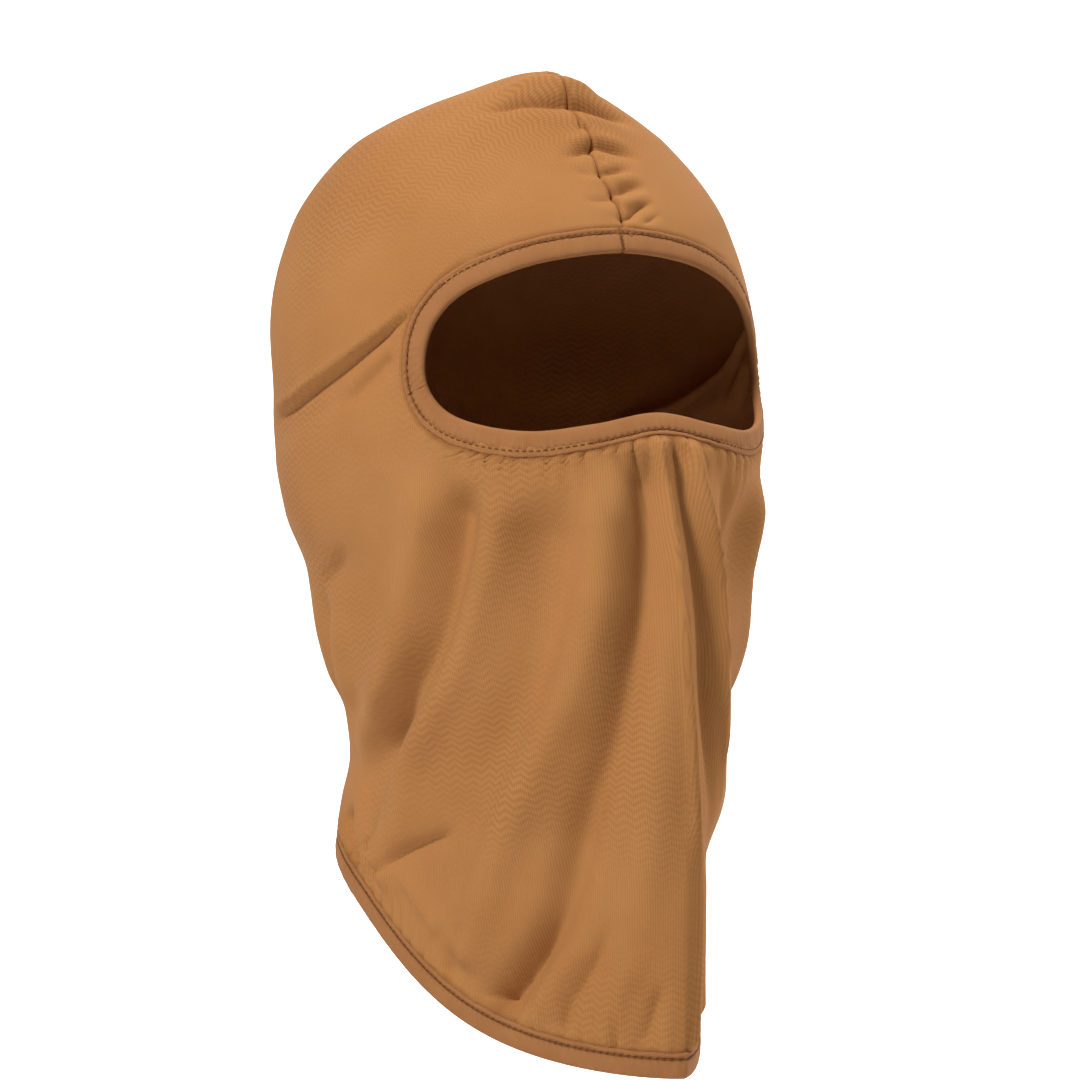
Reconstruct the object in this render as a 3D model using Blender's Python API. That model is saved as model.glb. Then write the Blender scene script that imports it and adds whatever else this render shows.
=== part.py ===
"""Stretch-knit full-head hood (balaclava) with one wide eye opening, in its worn shape.

Frame: +Z up, the face looks towards -Y, the wearer's left is +X. The origin is the inside top
of the crown, where the head carries the hood. Lengths below are millimetres, and MM turns them
into Blender's metres. Depth is measured down from the outer top of the crown.

Every piece follows one surface, surface(angle, depth): level outlines round an upright axis.
The angle is 0 at the nose and grows towards the wearer's left ear.
"""

import math

import bpy
import numpy as np

MM = 0.001

# Driving dimensions.
FABRIC = 1.0            # thickness of the knit
CROWN_DEPTH = 87.0      # from the top of the crown to the widest level of the skull
APEX_SHIFT = 22.0       # the skull's axis lies this far behind the top of the crown
APEX_BLEND = 30.0       # depth over which the outlines move back onto that axis
HEM_BACK = 266.0        # depth of the hem at the nape
HEM_DROP = 63.0         # how much lower the hem hangs in front
HEM_SHARPNESS = 2.2     # how late the hem starts to drop, going round from the nape

# Level outlines: half width, reach to the front and reach to the back, as (depth, length).
HALF_WIDTH = [(0, 40), (4, 47), (10, 62), (17, 72), (24, 77), (45, 79), (60, 78), (87, 78),
              (108, 77), (125, 78), (150, 75), (170, 68), (190, 66), (205, 62), (219, 55),
              (235, 53), (250, 56), (266, 58), (290, 60), (330, 62)]
FRONT_REACH = [(0, 76), (10, 78), (24, 83), (38, 86), (52, 90), (75, 93), (90, 98), (110, 109),
               (119, 114), (128, 119), (145, 123), (200, 130), (230, 133), (270, 133), (330, 131)]
BACK_REACH = [(0, 80), (10, 82), (24, 83), (38, 89), (52, 96), (70, 99), (87, 100), (110, 98),
              (130, 92), (150, 84), (170, 74), (200, 64), (230, 60), (266, 64), (330, 66)]
# Exponent of the front half of each outline: 2 is an ellipse, less is a keel under the nose.
FRONT_EXPONENT = [(0, 2.0), (50, 2.05), (87, 2.15), (115, 2.05), (130, 1.85), (160, 1.7),
                  (235, 1.75), (255, 1.62), (270, 1.55), (330, 1.5)]
BACK_EXPONENT = 2.0

# Edge of the eye opening on the wearer's left, brow to nose, as (angle in degrees, depth).
OPENING_HALF = [(0, 62.5), (14.5, 64.8), (25, 69), (35, 75.8), (40.8, 84.5), (43.2, 95),
                (42.6, 106), (38, 114.3), (30.5, 119), (21, 120.8), (11, 118.4), (0, 114.8)]
OPENING_CENTRE_DEPTH = 92.0
OPENING_ARC_RADIUS = 92.0   # turns an angle round the face into a length
CORNER_ANGLE = 42.6         # outer corners of the opening, where the two binding runs meet
CORNER_DEPTH = 107.0

# The folded binding strip, measured inwards from the edge that it covers.
BINDING_WIDTH = 8.0
BINDING_WALL = 0.6
GAP = 0.3                   # between pieces that touch on the real hood
RAW_EDGE = 5.3              # the knit's cut edge inside the binding
BINDING_CLEAR = 8.6         # the first line of the knit that is clear of the binding
ELASTIC_START = 0.9
ELASTIC_END = 4.9
STITCH_INSET = 6.8
CORNER_TUCK = 0.8           # gap between the two runs of the eye binding

THREAD_RADIUS = 0.2
SEAM_THREAD_RADIUS = 0.6
JOIN_START = 1.0
JOIN_END = 6.0

# Mesh density.
COLUMNS = 60                # round the head
WINDOW_HALF_COLUMNS = 11    # columns on each side of the nose that frame the eye opening
WINDOW_TOP = 45.0
WINDOW_BOTTOM = 150.0
WINDOW_ROWS = 10
CROWN_ROWS = 6
LOWER_ROWS = 9
RINGS = 5                   # between the window frame and the opening
TUBE_SIDES = 6

# Finish of each material: colour, roughness.
KNIT = ((0.42, 0.20, 0.075, 1), 0.85)
BINDING = ((0.36, 0.17, 0.065, 1), 0.8)
ELASTIC = ((0.75, 0.72, 0.66, 1), 0.7)
THREAD = ((0.25, 0.11, 0.04, 1), 0.6)


def smooth_profile(points):
    """A curve through (depth, value) points that never overshoots them."""
    x = np.array([p[0] for p in points], float)
    y = np.array([p[1] for p in points], float)
    step = np.diff(x)
    rise = np.diff(y) / step
    slope = np.concatenate([rise[:1], np.zeros(len(x) - 2), rise[-1:]])
    for i in range(1, len(x) - 1):
        if rise[i - 1] * rise[i] > 0:
            before = 2 * step[i] + step[i - 1]
            after = step[i] + 2 * step[i - 1]
            slope[i] = (before + after) / (before / rise[i - 1] + after / rise[i])

    def value(at):
        at = np.clip(np.asarray(at, float), x[0], x[-1])
        i = np.clip(np.searchsorted(x, at) - 1, 0, len(x) - 2)
        t = (at - x[i]) / step[i]
        return ((2 * t**3 - 3 * t**2 + 1) * y[i] + (t**3 - 2 * t**2 + t) * step[i] * slope[i]
                + (3 * t**2 - 2 * t**3) * y[i + 1] + (t**3 - t**2) * step[i] * slope[i + 1])

    return value


half_width = smooth_profile(HALF_WIDTH)
front_reach = smooth_profile(FRONT_REACH)
back_reach = smooth_profile(BACK_REACH)
front_exponent = smooth_profile(FRONT_EXPONENT)


def axis_shift(depth):
    return APEX_SHIFT * (1 - np.clip(1 - depth / APEX_BLEND, 0, 1) ** 2)


def surface(angle, depth):
    """Outer face of the knit, in millimetres."""
    angle = np.asarray(angle, float)
    depth = np.maximum(np.asarray(depth, float), 1e-4)
    dome = np.sqrt(1 - np.clip(1 - depth / CROWN_DEPTH, 0, 1) ** 2)
    to_front = np.cos(angle) > 0
    reach = np.where(to_front, front_reach(depth), back_reach(depth)) * dome
    power = np.where(to_front, front_exponent(depth), BACK_EXPONENT)
    across = np.abs(np.sin(angle) / (half_width(depth) * dome)) ** power
    along = np.abs(np.cos(angle) / reach) ** power
    radius = (across + along) ** (-1 / power)
    x = radius * np.sin(angle)
    y = axis_shift(depth) - radius * np.cos(angle)
    return np.stack([x, y, FABRIC - depth + 0 * x], -1)


def unit(vectors):
    return vectors / np.linalg.norm(vectors, axis=-1, keepdims=True)


def normal(angle, depth):
    """Outward normal of the surface."""
    turn = 0.01
    drop = 0.2
    round_head = surface(angle + turn, depth) - surface(angle - turn, depth)
    downwards = surface(angle, depth + drop) - surface(angle, np.maximum(depth - drop, 0.05))
    return unit(np.cross(downwards, round_head))


def point(angle, depth, height=0.0):
    """A point at a height above the outer face; below it is negative."""
    return surface(angle, depth) + np.asarray(height)[..., None] * normal(angle, depth)


def hem_depth(angle):
    forward = (1 + np.cos(angle)) / 2
    return HEM_BACK + HEM_DROP * forward**HEM_SHARPNESS


def closed_spline(points, samples=24):
    """A smooth closed curve through points, as a dense polyline."""
    points = np.array(points, float)
    before, after = np.roll(points, 1, 0), np.roll(points, -1, 0)
    beyond = np.roll(points, -2, 0)
    t = (np.arange(samples) / samples)[None, :, None]
    a, b, c, d = (p[:, None] for p in (before, points, after, beyond))
    curve = 0.5 * (2 * b + (c - a) * t + (2 * a - 5 * b + 4 * c - d) * t**2
                   + (3 * b - a - 3 * c + d) * t**3)
    return curve.reshape(-1, 2)


def opening_outline():
    """Edge of the eye opening as (bearing, angle, depth), sorted by bearing round its centre.

    A bearing of 0 points at the wearer's left, and 90 degrees at the chin."""
    left = [(math.radians(a), d) for a, d in OPENING_HALF]
    right = [(-a, d) for a, d in reversed(left[1:-1])]
    curve = closed_spline(left + right)
    bearing = np.arctan2(curve[:, 1] - OPENING_CENTRE_DEPTH, curve[:, 0] * OPENING_ARC_RADIUS)
    order = np.argsort(bearing)
    return bearing[order], curve[order, 0], curve[order, 1]


OUTLINE_BEARING, OUTLINE_ANGLE, OUTLINE_DEPTH = opening_outline()


def opening_edge(bearing):
    turn = 2 * math.pi
    wrapped = (np.asarray(bearing) + math.pi) % turn - math.pi
    angle = np.interp(wrapped, OUTLINE_BEARING, OUTLINE_ANGLE, period=turn)
    depth = np.interp(wrapped, OUTLINE_BEARING, OUTLINE_DEPTH, period=turn)
    return angle, depth


def hem_edge(angle):
    return np.asarray(angle, float), hem_depth(angle)


def inset_from(edge, station, inset):
    """(angle, depth) on the surface, an inset into the cloth from an edge.

    edge(station) runs so that the cloth is on the left of its travel, seen from outside."""
    nudge = 0.02
    angle, depth = edge(station)
    travel = surface(*edge(station + nudge)) - surface(*edge(station - nudge))
    inwards = unit(np.cross(normal(angle, depth), travel))
    turn = 1e-3
    drop = 0.05
    per_angle = (surface(angle + turn, depth) - surface(angle - turn, depth)) / (2 * turn)
    per_depth = (surface(angle, depth + drop) - surface(angle, depth - drop)) / (2 * drop)
    a = (per_angle * per_angle).sum(-1)
    b = (per_angle * per_depth).sum(-1)
    c = (per_depth * per_depth).sum(-1)
    p = (per_angle * inwards).sum(-1)
    q = (per_depth * inwards).sum(-1)
    spread = a * c - b * b
    return (angle + inset * (c * p - b * q) / spread,
            depth + inset * (a * q - b * p) / spread)


def sections(edge, stations, profile):
    """Cross-sections along an edge; profile lists (inset, height) corners."""
    rows = []
    for inset, height in profile:
        angle, depth = inset_from(edge, stations, inset)
        rows.append(point(angle, depth, np.full(len(stations), height)))
    return np.stack(rows, 1)


def add_object(name, points, faces, finish):
    """A node from points in millimetres; its faces are turned outwards."""
    mesh = bpy.data.meshes.new(name)
    mesh.from_pydata((np.asarray(points) * MM).tolist(), [], faces)
    mesh.validate()
    triangles = np.array([[f[0], f[i], f[i + 1]] for f in faces for i in range(1, len(f) - 1)])
    if np.linalg.det(np.asarray(points)[triangles]).sum() < 0:
        mesh.flip_normals()
    mesh.shade_smooth()
    mesh.set_sharp_from_angle(angle=math.radians(50))
    node = bpy.data.objects.new(name, mesh)
    bpy.context.scene.collection.objects.link(node)
    colour, roughness = finish
    material = bpy.data.materials.new(name)
    material.use_nodes = True
    shader = material.node_tree.nodes["Principled BSDF"]
    shader.inputs["Base Color"].default_value = colour
    shader.inputs["Roughness"].default_value = roughness
    mesh.materials.append(material)
    return node


def swept(name, rings, finish, closed):
    """A solid through cross-sections, either a closed loop or capped at both ends."""
    count, corners = rings.shape[:2]
    last = count if closed else count - 1
    faces = []
    for i in range(last):
        j = (i + 1) % count
        for k in range(corners):
            m = (k + 1) % corners
            faces.append((i * corners + k, i * corners + m, j * corners + m, j * corners + k))
    if not closed:
        faces.append(tuple(range(corners))[::-1])
        faces.append(tuple((count - 1) * corners + k for k in range(corners)))
    return add_object(name, rings.reshape(-1, 3), faces, finish)


def fold_profile():
    """The binding: a strip folded over the edge, an outer wall, a web and an inner wall."""
    outer = GAP + BINDING_WALL
    inner = -FABRIC - GAP - BINDING_WALL
    nose = 0.5
    middle = (BINDING_WIDTH + BINDING_WALL) / 2
    return [(BINDING_WIDTH, outer), (middle, outer), (nose, outer), (0, outer - nose),
            (0, inner + nose), (nose, inner), (middle, inner), (BINDING_WIDTH, inner),
            (BINDING_WIDTH, inner + BINDING_WALL), (middle, inner + BINDING_WALL),
            (BINDING_WALL, inner + BINDING_WALL), (BINDING_WALL, GAP), (middle, GAP),
            (BINDING_WIDTH, GAP)]


def elastic_profile():
    return [(ELASTIC_START, 0), (ELASTIC_START, -FABRIC), (ELASTIC_END, -FABRIC), (ELASTIC_END, 0)]


def thread_profile():
    height = GAP + BINDING_WALL + GAP + THREAD_RADIUS
    turns = [2 * math.pi * k / TUBE_SIDES for k in range(TUBE_SIDES)]
    return [(STITCH_INSET + THREAD_RADIUS * math.cos(t), height + THREAD_RADIUS * math.sin(t))
            for t in turns]


def window_frame():
    """(column, row) of each vertex round the window frame, anticlockwise from its lower left."""
    left, right = -WINDOW_HALF_COLUMNS, WINDOW_HALF_COLUMNS
    frame = [(c, WINDOW_ROWS) for c in range(left, right)]
    frame += [(right, r) for r in range(WINDOW_ROWS, 0, -1)]
    frame += [(c, 0) for c in range(right, left, -1)]
    frame += [(left, r) for r in range(WINDOW_ROWS)]
    return frame


def column_angle(column):
    return 2 * math.pi * column / COLUMNS


def row_depth(row):
    """Depth of a row between the top and the bottom of the window frame."""
    return WINDOW_TOP + (WINDOW_BOTTOM - WINDOW_TOP) * row / WINDOW_ROWS


def level_place(level, angle):
    """(angle, depth) on a level of the sheet, counted from the crown, for a column's angle.

    The last level is the knit's cut edge, and the one before it is just above the binding."""
    if level < CROWN_ROWS:
        lift = (level + 1) / (CROWN_ROWS + 1) * math.acos(1 - WINDOW_TOP / CROWN_DEPTH)
        return angle, CROWN_DEPTH * (1 - math.cos(lift))
    if level <= CROWN_ROWS + WINDOW_ROWS:
        return angle, row_depth(level - CROWN_ROWS)
    step = level - CROWN_ROWS - WINDOW_ROWS
    inset = BINDING_CLEAR if step < LOWER_ROWS else RAW_EDGE
    end_angle, end_depth = inset_from(hem_edge, np.array([angle]), inset)
    share = min(1, step / (LOWER_ROWS - 1))
    return (angle + (end_angle[0] - angle) * share,
            WINDOW_BOTTOM + (end_depth[0] - WINDOW_BOTTOM) * share)


def frame_bearings():
    """Bearing of each window-frame vertex, seen from the centre of the opening."""
    found = []
    for column, row in window_frame():
        across = column_angle(column) * OPENING_ARC_RADIUS
        found.append(math.atan2(row_depth(row) - OPENING_CENTRE_DEPTH, across))
    return np.array(found)


def sheet_layout():
    """The knit as (angle, depth) vertices and faces, with the eye opening left out."""
    vertices = [(0.0, 0.0)]
    faces = []
    index = {}

    def grid_vertex(column, level):
        key = (column % COLUMNS, level)
        if key not in index:
            index[key] = len(vertices)
            vertices.append(level_place(level, column_angle(column)))
        return index[key]

    levels = CROWN_ROWS + WINDOW_ROWS + LOWER_ROWS
    for column in range(COLUMNS):
        faces.append((0, grid_vertex(column + 1, 0), grid_vertex(column, 0)))
        signed = (column + COLUMNS // 2) % COLUMNS - COLUMNS // 2
        for level in range(levels):
            in_window_rows = CROWN_ROWS <= level < CROWN_ROWS + WINDOW_ROWS
            if in_window_rows and -WINDOW_HALF_COLUMNS <= signed < WINDOW_HALF_COLUMNS:
                continue
            faces.append((grid_vertex(column, level), grid_vertex(column + 1, level),
                          grid_vertex(column + 1, level + 1), grid_vertex(column, level + 1)))

    outer = [grid_vertex(c, CROWN_ROWS + r) for c, r in window_frame()]
    bearings = frame_bearings()
    previous = outer
    for ring in range(1, RINGS + 1):
        inset = BINDING_CLEAR if ring < RINGS else RAW_EDGE
        edge_angle, edge_depth = inset_from(opening_edge, bearings, inset)
        share = min(1, ring / (RINGS - 1))
        current = []
        for k, (column, row) in enumerate(window_frame()):
            angle = column_angle(column) * (1 - share) + edge_angle[k] * share
            depth = row_depth(row) * (1 - share) + edge_depth[k] * share
            current.append(len(vertices))
            vertices.append((angle, depth))
        for k in range(len(outer)):
            m = (k + 1) % len(outer)
            faces.append((previous[m], previous[k], current[k], current[m]))
        previous = current
    return np.array(vertices), faces


def thick_sheet(name, layout, faces, finish):
    """The sheet given its thickness inwards, with its open edges closed."""
    angle, depth = layout[:, 0], layout[:, 1]
    outer = point(angle, depth, np.zeros(len(layout)))
    inner = point(angle, depth, np.full(len(layout), -FABRIC))
    outer[0] = (0, 0, FABRIC)
    inner[0] = (0, 0, 0)
    count = len(layout)
    edges = {}
    for face in faces:
        for start, end in zip(face, face[1:] + face[:1]):
            edges[(start, end)] = True
    solid = [tuple(face) for face in faces]
    solid += [tuple(v + count for v in reversed(face)) for face in faces]
    for start, end in edges:
        if (end, start) not in edges:
            solid.append((end, start, start + count, end + count))
    return add_object(name, np.concatenate([outer, inner]), solid, finish)


def corner_bearing():
    """Bearing of the outer corner on the wearer's left."""
    return math.atan2(CORNER_DEPTH - OPENING_CENTRE_DEPTH,
                      math.radians(CORNER_ANGLE) * OPENING_ARC_RADIUS)


def eye_run(profile, upper):
    """Sections along the brow run or the cheek run of the eye opening, cut at the corners."""
    bearings = frame_bearings()
    rings = sections(opening_edge, bearings, profile)
    corner_left = corner_bearing()
    corner_right = math.pi - corner_left
    if upper:
        first, last = corner_right, corner_left + 2 * math.pi
    else:
        first, last = corner_left, corner_right
    unwrapped = first + (bearings - first) % (2 * math.pi)
    order = np.argsort(unwrapped)
    inside = [k for k in order if first < unwrapped[k] < last]
    pitch = np.linalg.norm(rings[inside[0]] - rings[inside[1]], axis=1).mean()
    cap_share = 0.5 * (1 - CORNER_TUCK / pitch)
    step_in = np.roll(rings, -1, 0)[inside[0]]
    step_out = np.roll(rings, 1, 0)[inside[-1]]
    start = rings[inside[0]] + (step_in - rings[inside[0]]) * cap_share
    end = rings[inside[-1]] + (step_out - rings[inside[-1]]) * cap_share
    return np.concatenate([start[None], rings[inside], end[None]])


def hem_loop(profile):
    stations = np.array([column_angle(c) for c in range(COLUMNS)])
    return sections(hem_edge, stations, profile)


def make_hood_body():
    layout, faces = sheet_layout()
    thick_sheet("hood_body", layout, faces, KNIT)


def make_eye_binding():
    for upper, place in ((True, "upper"), (False, "lower")):
        swept("eye_binding_" + place, eye_run(fold_profile(), upper), BINDING, closed=False)
        swept("eye_elastic_" + place, eye_run(elastic_profile(), upper), ELASTIC, closed=False)
        swept("eye_topstitch_" + place, eye_run(thread_profile(), upper), THREAD, closed=False)


def make_neck_binding():
    swept("neck_binding", hem_loop(fold_profile()), BINDING, closed=True)
    swept("neck_elastic", hem_loop(elastic_profile()), ELASTIC, closed=True)
    swept("neck_topstitch", hem_loop(thread_profile()), THREAD, closed=True)


def tube(name, path, across, radius, finish):
    """A round thread along a path; across is one direction square to it."""
    travel = unit(np.gradient(path, axis=0))
    across = unit(np.broadcast_to(across, path.shape) + 0.0)
    above = np.cross(travel, across)
    rings = []
    for k in range(TUBE_SIDES):
        turn = 2 * math.pi * k / TUBE_SIDES
        rings.append(path + radius * (math.cos(turn) * across + math.sin(turn) * above))
    return swept(name, np.stack(rings, 1), finish, closed=False)


def make_seam_threads():
    """The overlock thread under the centre seam: over the crown to the brow, and down the back.

    Each path has its points at the sheet's own levels, so it keeps its distance from the knit."""
    below = FABRIC + GAP + SEAM_THREAD_RADIUS
    brow_end = OPENING_HALF[0][1] - BINDING_WIDTH - 2 * SEAM_THREAD_RADIUS
    nape_end = HEM_BACK - BINDING_WIDTH - 2 * SEAM_THREAD_RADIUS
    levels = range(CROWN_ROWS + WINDOW_ROWS + LOWER_ROWS)
    for name, angle, lowest in (("crown_seam_thread", 0.0, brow_end),
                                ("back_seam_thread", math.pi, nape_end)):
        depth = [level_place(level, angle)[1] for level in levels]
        depth = np.array([d for d in depth if d < lowest] + [lowest])
        path = point(np.full(len(depth), angle), depth, np.full(len(depth), -below))
        tube(name, path, (1, 0, 0), SEAM_THREAD_RADIUS, THREAD)


def make_join_threads():
    """Short rows of stitches where each binding strip meets itself."""
    height = GAP + BINDING_WALL + GAP + THREAD_RADIUS
    inset = np.linspace(JOIN_START, JOIN_END, 4)
    brow = np.array([inset_from(opening_edge, np.array([-math.pi / 2]), i) for i in inset])
    nape = np.array([inset_from(hem_edge, np.array([math.pi]), i) for i in inset])
    for name, run in (("brow_join_thread", brow), ("nape_join_thread", nape)):
        path = point(run[:, 0, 0], run[:, 1, 0], np.full(len(inset), height))
        tube(name, path, (1, 0, 0), THREAD_RADIUS, THREAD)


def clear_scene():
    for item in list(bpy.data.objects):
        bpy.data.objects.remove(item, do_unlink=True)


clear_scene()
make_hood_body()
make_eye_binding()
make_neck_binding()
make_seam_threads()
make_join_threads()
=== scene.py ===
"""Looks of the knit hood: its cloth, folded bindings, elastic, stitches and seam, on the CAD frame.

The knit follows the same outlines as the CAD solids, with the folds of the worn hood added. Its
surface is addressed by an angle round the head (0 at the nose, growing to the wearer's left) and
a depth below the crown. Lengths in the tables are millimetres, and MM turns them into metres.
"""
import math

import bpy
import numpy as np
from mathutils import Matrix, Vector


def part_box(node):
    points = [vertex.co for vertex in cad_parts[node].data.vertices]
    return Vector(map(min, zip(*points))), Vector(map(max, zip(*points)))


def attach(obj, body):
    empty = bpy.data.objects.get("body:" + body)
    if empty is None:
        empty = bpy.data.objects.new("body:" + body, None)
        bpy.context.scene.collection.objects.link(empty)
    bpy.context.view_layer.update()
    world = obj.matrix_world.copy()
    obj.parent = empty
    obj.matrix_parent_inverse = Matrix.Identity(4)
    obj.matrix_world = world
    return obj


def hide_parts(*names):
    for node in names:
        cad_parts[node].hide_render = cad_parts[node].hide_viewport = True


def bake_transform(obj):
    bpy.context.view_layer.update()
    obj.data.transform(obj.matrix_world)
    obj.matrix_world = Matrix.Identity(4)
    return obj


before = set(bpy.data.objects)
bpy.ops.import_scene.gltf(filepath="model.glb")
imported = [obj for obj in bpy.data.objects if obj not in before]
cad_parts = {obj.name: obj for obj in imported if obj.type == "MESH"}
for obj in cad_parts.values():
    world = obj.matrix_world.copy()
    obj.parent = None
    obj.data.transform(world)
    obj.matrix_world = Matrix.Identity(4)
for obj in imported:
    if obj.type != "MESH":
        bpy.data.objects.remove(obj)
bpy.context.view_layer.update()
MM = 0.001

HOOD_LOW, HOOD_HIGH = (np.array(corner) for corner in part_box("hood_body"))
HEM_LOW, _ = (np.array(corner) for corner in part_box("neck_binding"))
FABRIC = HOOD_HIGH[2] / MM                       # the crown's inside is the frame's origin
OUTLINE_WIDTH = 156.0
WIDTH_SCALE = (HOOD_HIGH[0] - HOOD_LOW[0]) / MM / OUTLINE_WIDTH
CLOTH_THICKNESS = 0.8

# The crown is a dome down to CROWN_DEPTH, about CROWN_RADIUS in radius. Its top lies APEX_SHIFT in
# front of the head's axis, and the hem is HEM_DROP lower at the front than at the back.
CROWN_DEPTH = 87.0
CROWN_RADIUS = 80.0
APEX_SHIFT = 22.0
APEX_BLEND = 30.0
LEAST_DEPTH = 1e-4
HEM_BACK = 266.0
HEM_DROP = 63.0
HEM_SHARPNESS = 2.2

# The CAD outlines: half width, reach to the front and reach to the back, as (depth, length).
HALF_WIDTH = [(0, 40), (4, 47), (10, 62), (17, 72), (24, 77), (45, 79), (60, 78), (87, 78),
              (108, 77), (125, 78), (150, 75), (170, 68), (190, 66), (205, 62), (219, 55),
              (235, 53), (250, 56), (266, 58), (290, 60), (330, 62)]
# On the wearer's right the knit hangs straighter than that, from the cheek to the hem. The cosines
# are those of the angles where this starts and where it is complete.
BRIDGED_WIDTH = [(150, 75), (170, 70), (190, 67), (205, 64.5), (219, 62), (235, 60), (250, 59.5),
                 (266, 59.5), (290, 60.5), (330, 62)]
BRIDGED_COSINES = (0.05, 0.85)
FRONT_REACH = [(0, 76), (10, 78), (24, 83), (38, 86), (52, 90), (75, 93), (90, 98), (110, 109),
               (119, 114), (128, 119), (145, 123), (200, 130), (230, 133), (270, 133), (330, 131)]
BACK_REACH = [(0, 80), (10, 82), (24, 83), (38, 89), (52, 96), (70, 99), (87, 100), (110, 98),
              (130, 92), (150, 84), (170, 74), (200, 64), (230, 60), (266, 64), (330, 66)]
FRONT_EXPONENT = [(0, 2.0), (50, 2.05), (87, 2.15), (115, 2.05), (130, 1.85), (160, 1.7),
                  (235, 1.75), (255, 1.62), (270, 1.55), (330, 1.5)]
# On the wearer's left the cloth lies hollow below the jaw: how much less the exponent is there, and
# the depths where this starts and where it is complete.
FAR_HOLLOW = 0.30
FAR_HOLLOW_TOP = 235.0
FAR_HOLLOW_FULL = 264.0

# One half of the eye opening's edge, as (angle in degrees, depth), from the brow to the chin.
OPENING_HALF = [(0, 62.5), (14.5, 64.8), (25, 69), (35, 75.8), (40.8, 84.5), (43.2, 95),
                (42.6, 106), (38, 114.3), (30.5, 119), (21, 120.8), (11, 118.4), (0, 114.8)]
CORNER = (42.6, 106)
CHIN_EDGE_DEPTH = OPENING_HALF[-1][1]
BROW_EDGE_DEPTH = OPENING_HALF[0][1]
OPENING_CENTRE_DEPTH = 92.0
OPENING_ARC_RADIUS = 92.0

# Insets from an edge: the knit's raw edge inside the binding, the binding's lip, and the stitches.
RAW_EDGE = 5.3
LIP = 8.6
STITCH_INSET = 6.6
STITCH_PITCH = 2.4
BINDING_STEP = STITCH_PITCH / 6
ELASTIC_STRIDE = 3

# Mesh density. Columns stand closer together at the front and back, where creases and seams are.
COLUMNS = 440
COLUMN_CROWDING = 0.25
WINDOW_HALF_COLUMNS = 90
WINDOW_TOP = 45.0
WINDOW_BOTTOM = 150.0
WINDOW_ROWS = 84
CROWN_ROWS = 76
LOWER_ROWS = 110
RINGS = 20

# Folds of the worn knit: height, half width, sharpness, how much each end fades, and the path as
# (angle in degrees, depth). A negative height is a hollow. Sharpness 1 is a crease, 2 a soft roll.
NEAR_FOLDS = [
    (4.8, 7, 2, 0.15, 0.2, [(-42.5, 132), (-45.4, 154), (-50.4, 177), (-56, 194), (-68, 212),
                            (-84, 224), (-100, 238)]),
    (-6.4, 7.2, 2, 0.12, 0.25, [(-33, 134), (-35, 160), (-37.5, 177), (-42, 194), (-52, 211),
                               (-68, 230), (-80, 247)]),
    (5.2, 8, 2, 0.12, 0.0, [(-26, 132), (-28.5, 157), (-32, 176), (-36, 193), (-42.5, 210),
                           (-52, 228), (-58, 246), (-67, 267)]),
    (-5.0, 11, 2, 0.15, 0.4, [(-17, 136), (-19, 176), (-23.5, 209), (-31, 236), (-41, 261)]),
]
FRONT_FOLDS = [
    (5.6, 8, 2, 0.12, 0.05, [(-9.5, 128), (-10.3, 156), (-11.5, 175), (-13.5, 191), (-16, 208),
                           (-20, 225), (-23.5, 242), (-30.5, 276), (-38, 299)]),
    (-6.6, 6.6, 2, 0.08, 0.0, [(-3.8, 124), (-4.4, 150), (-5, 175), (-6.5, 191), (-8, 207),
                             (-10.5, 227), (-12.5, 240), (-16, 274), (-20, 291), (-27, 310)]),
    (1.6, 6, 2, 0.3, 0.2, [(-1.5, 150), (-2, 198), (-3.5, 231), (-6, 275), (-7, 300)]),
    (-3.4, 2.8, 1, 0.5, 0.0, [(-16, 272), (-20.5, 292), (-26, 306), (-29, 313)]),
    (2.0, 4, 2, 0.4, 0.0, [(-13, 284), (-17, 296), (-21, 312)]),
    (-3.0, 3.2, 1.5, 0.5, 0.0, [(-8.2, 274), (-11.5, 293), (-14.7, 306), (-16, 314)]),
    (1.6, 3.5, 2, 0.4, 0.0, [(-5, 286), (-8, 300), (-10, 316)]),
    (-2.0, 2.6, 1.5, 0.4, 0.0, [(-2.6, 296), (-4.1, 308), (-5.2, 318)]),
    (3.2, 1.9, 1, 0.0, 0.0, [(-1.2, 122), (-0.6, 143), (0, 163), (0.2, 182), (0.2, 207),
                             (0.6, 233), (1.2, 262), (1.4, 322)]),
    (-3.8, 3.4, 2, 0.05, 0.4, [(1.9, 122), (2.6, 143), (3.6, 163), (4.2, 182), (4, 207),
                               (4.6, 235), (5.5, 262)]),
    (4.4, 2.4, 1.0, 0.03, 0.35, [(3.7, 122), (4.9, 137), (6.6, 153), (8, 176), (7.4, 202),
                                 (7.8, 226), (8.6, 250)]),
    (-3.0, 5, 2, 0.2, 0.4, [(11, 128), (14, 158), (15, 184), (14, 225)]),
    (-1.8, 6, 2, 0.4, 0.0, [(8, 262), (9, 285), (10, 318)]),
    (1.8, 4, 2, 0.4, 0.0, [(17, 250), (18, 280), (19, 312)]),
    (-3.8, 2.4, 1, 0.35, 0.0, [(-36, 252), (-44.5, 256.5), (-57, 262.5), (-68.5, 270)]),
    (2.2, 3.4, 1.5, 0.3, 0.1, [(-61, 267), (-51, 277), (-42.5, 288)]),
    (-2.4, 3.5, 1.5, 0.4, 0.0, [(-33, 279), (-38, 292), (-41, 301)]),
]
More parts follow.
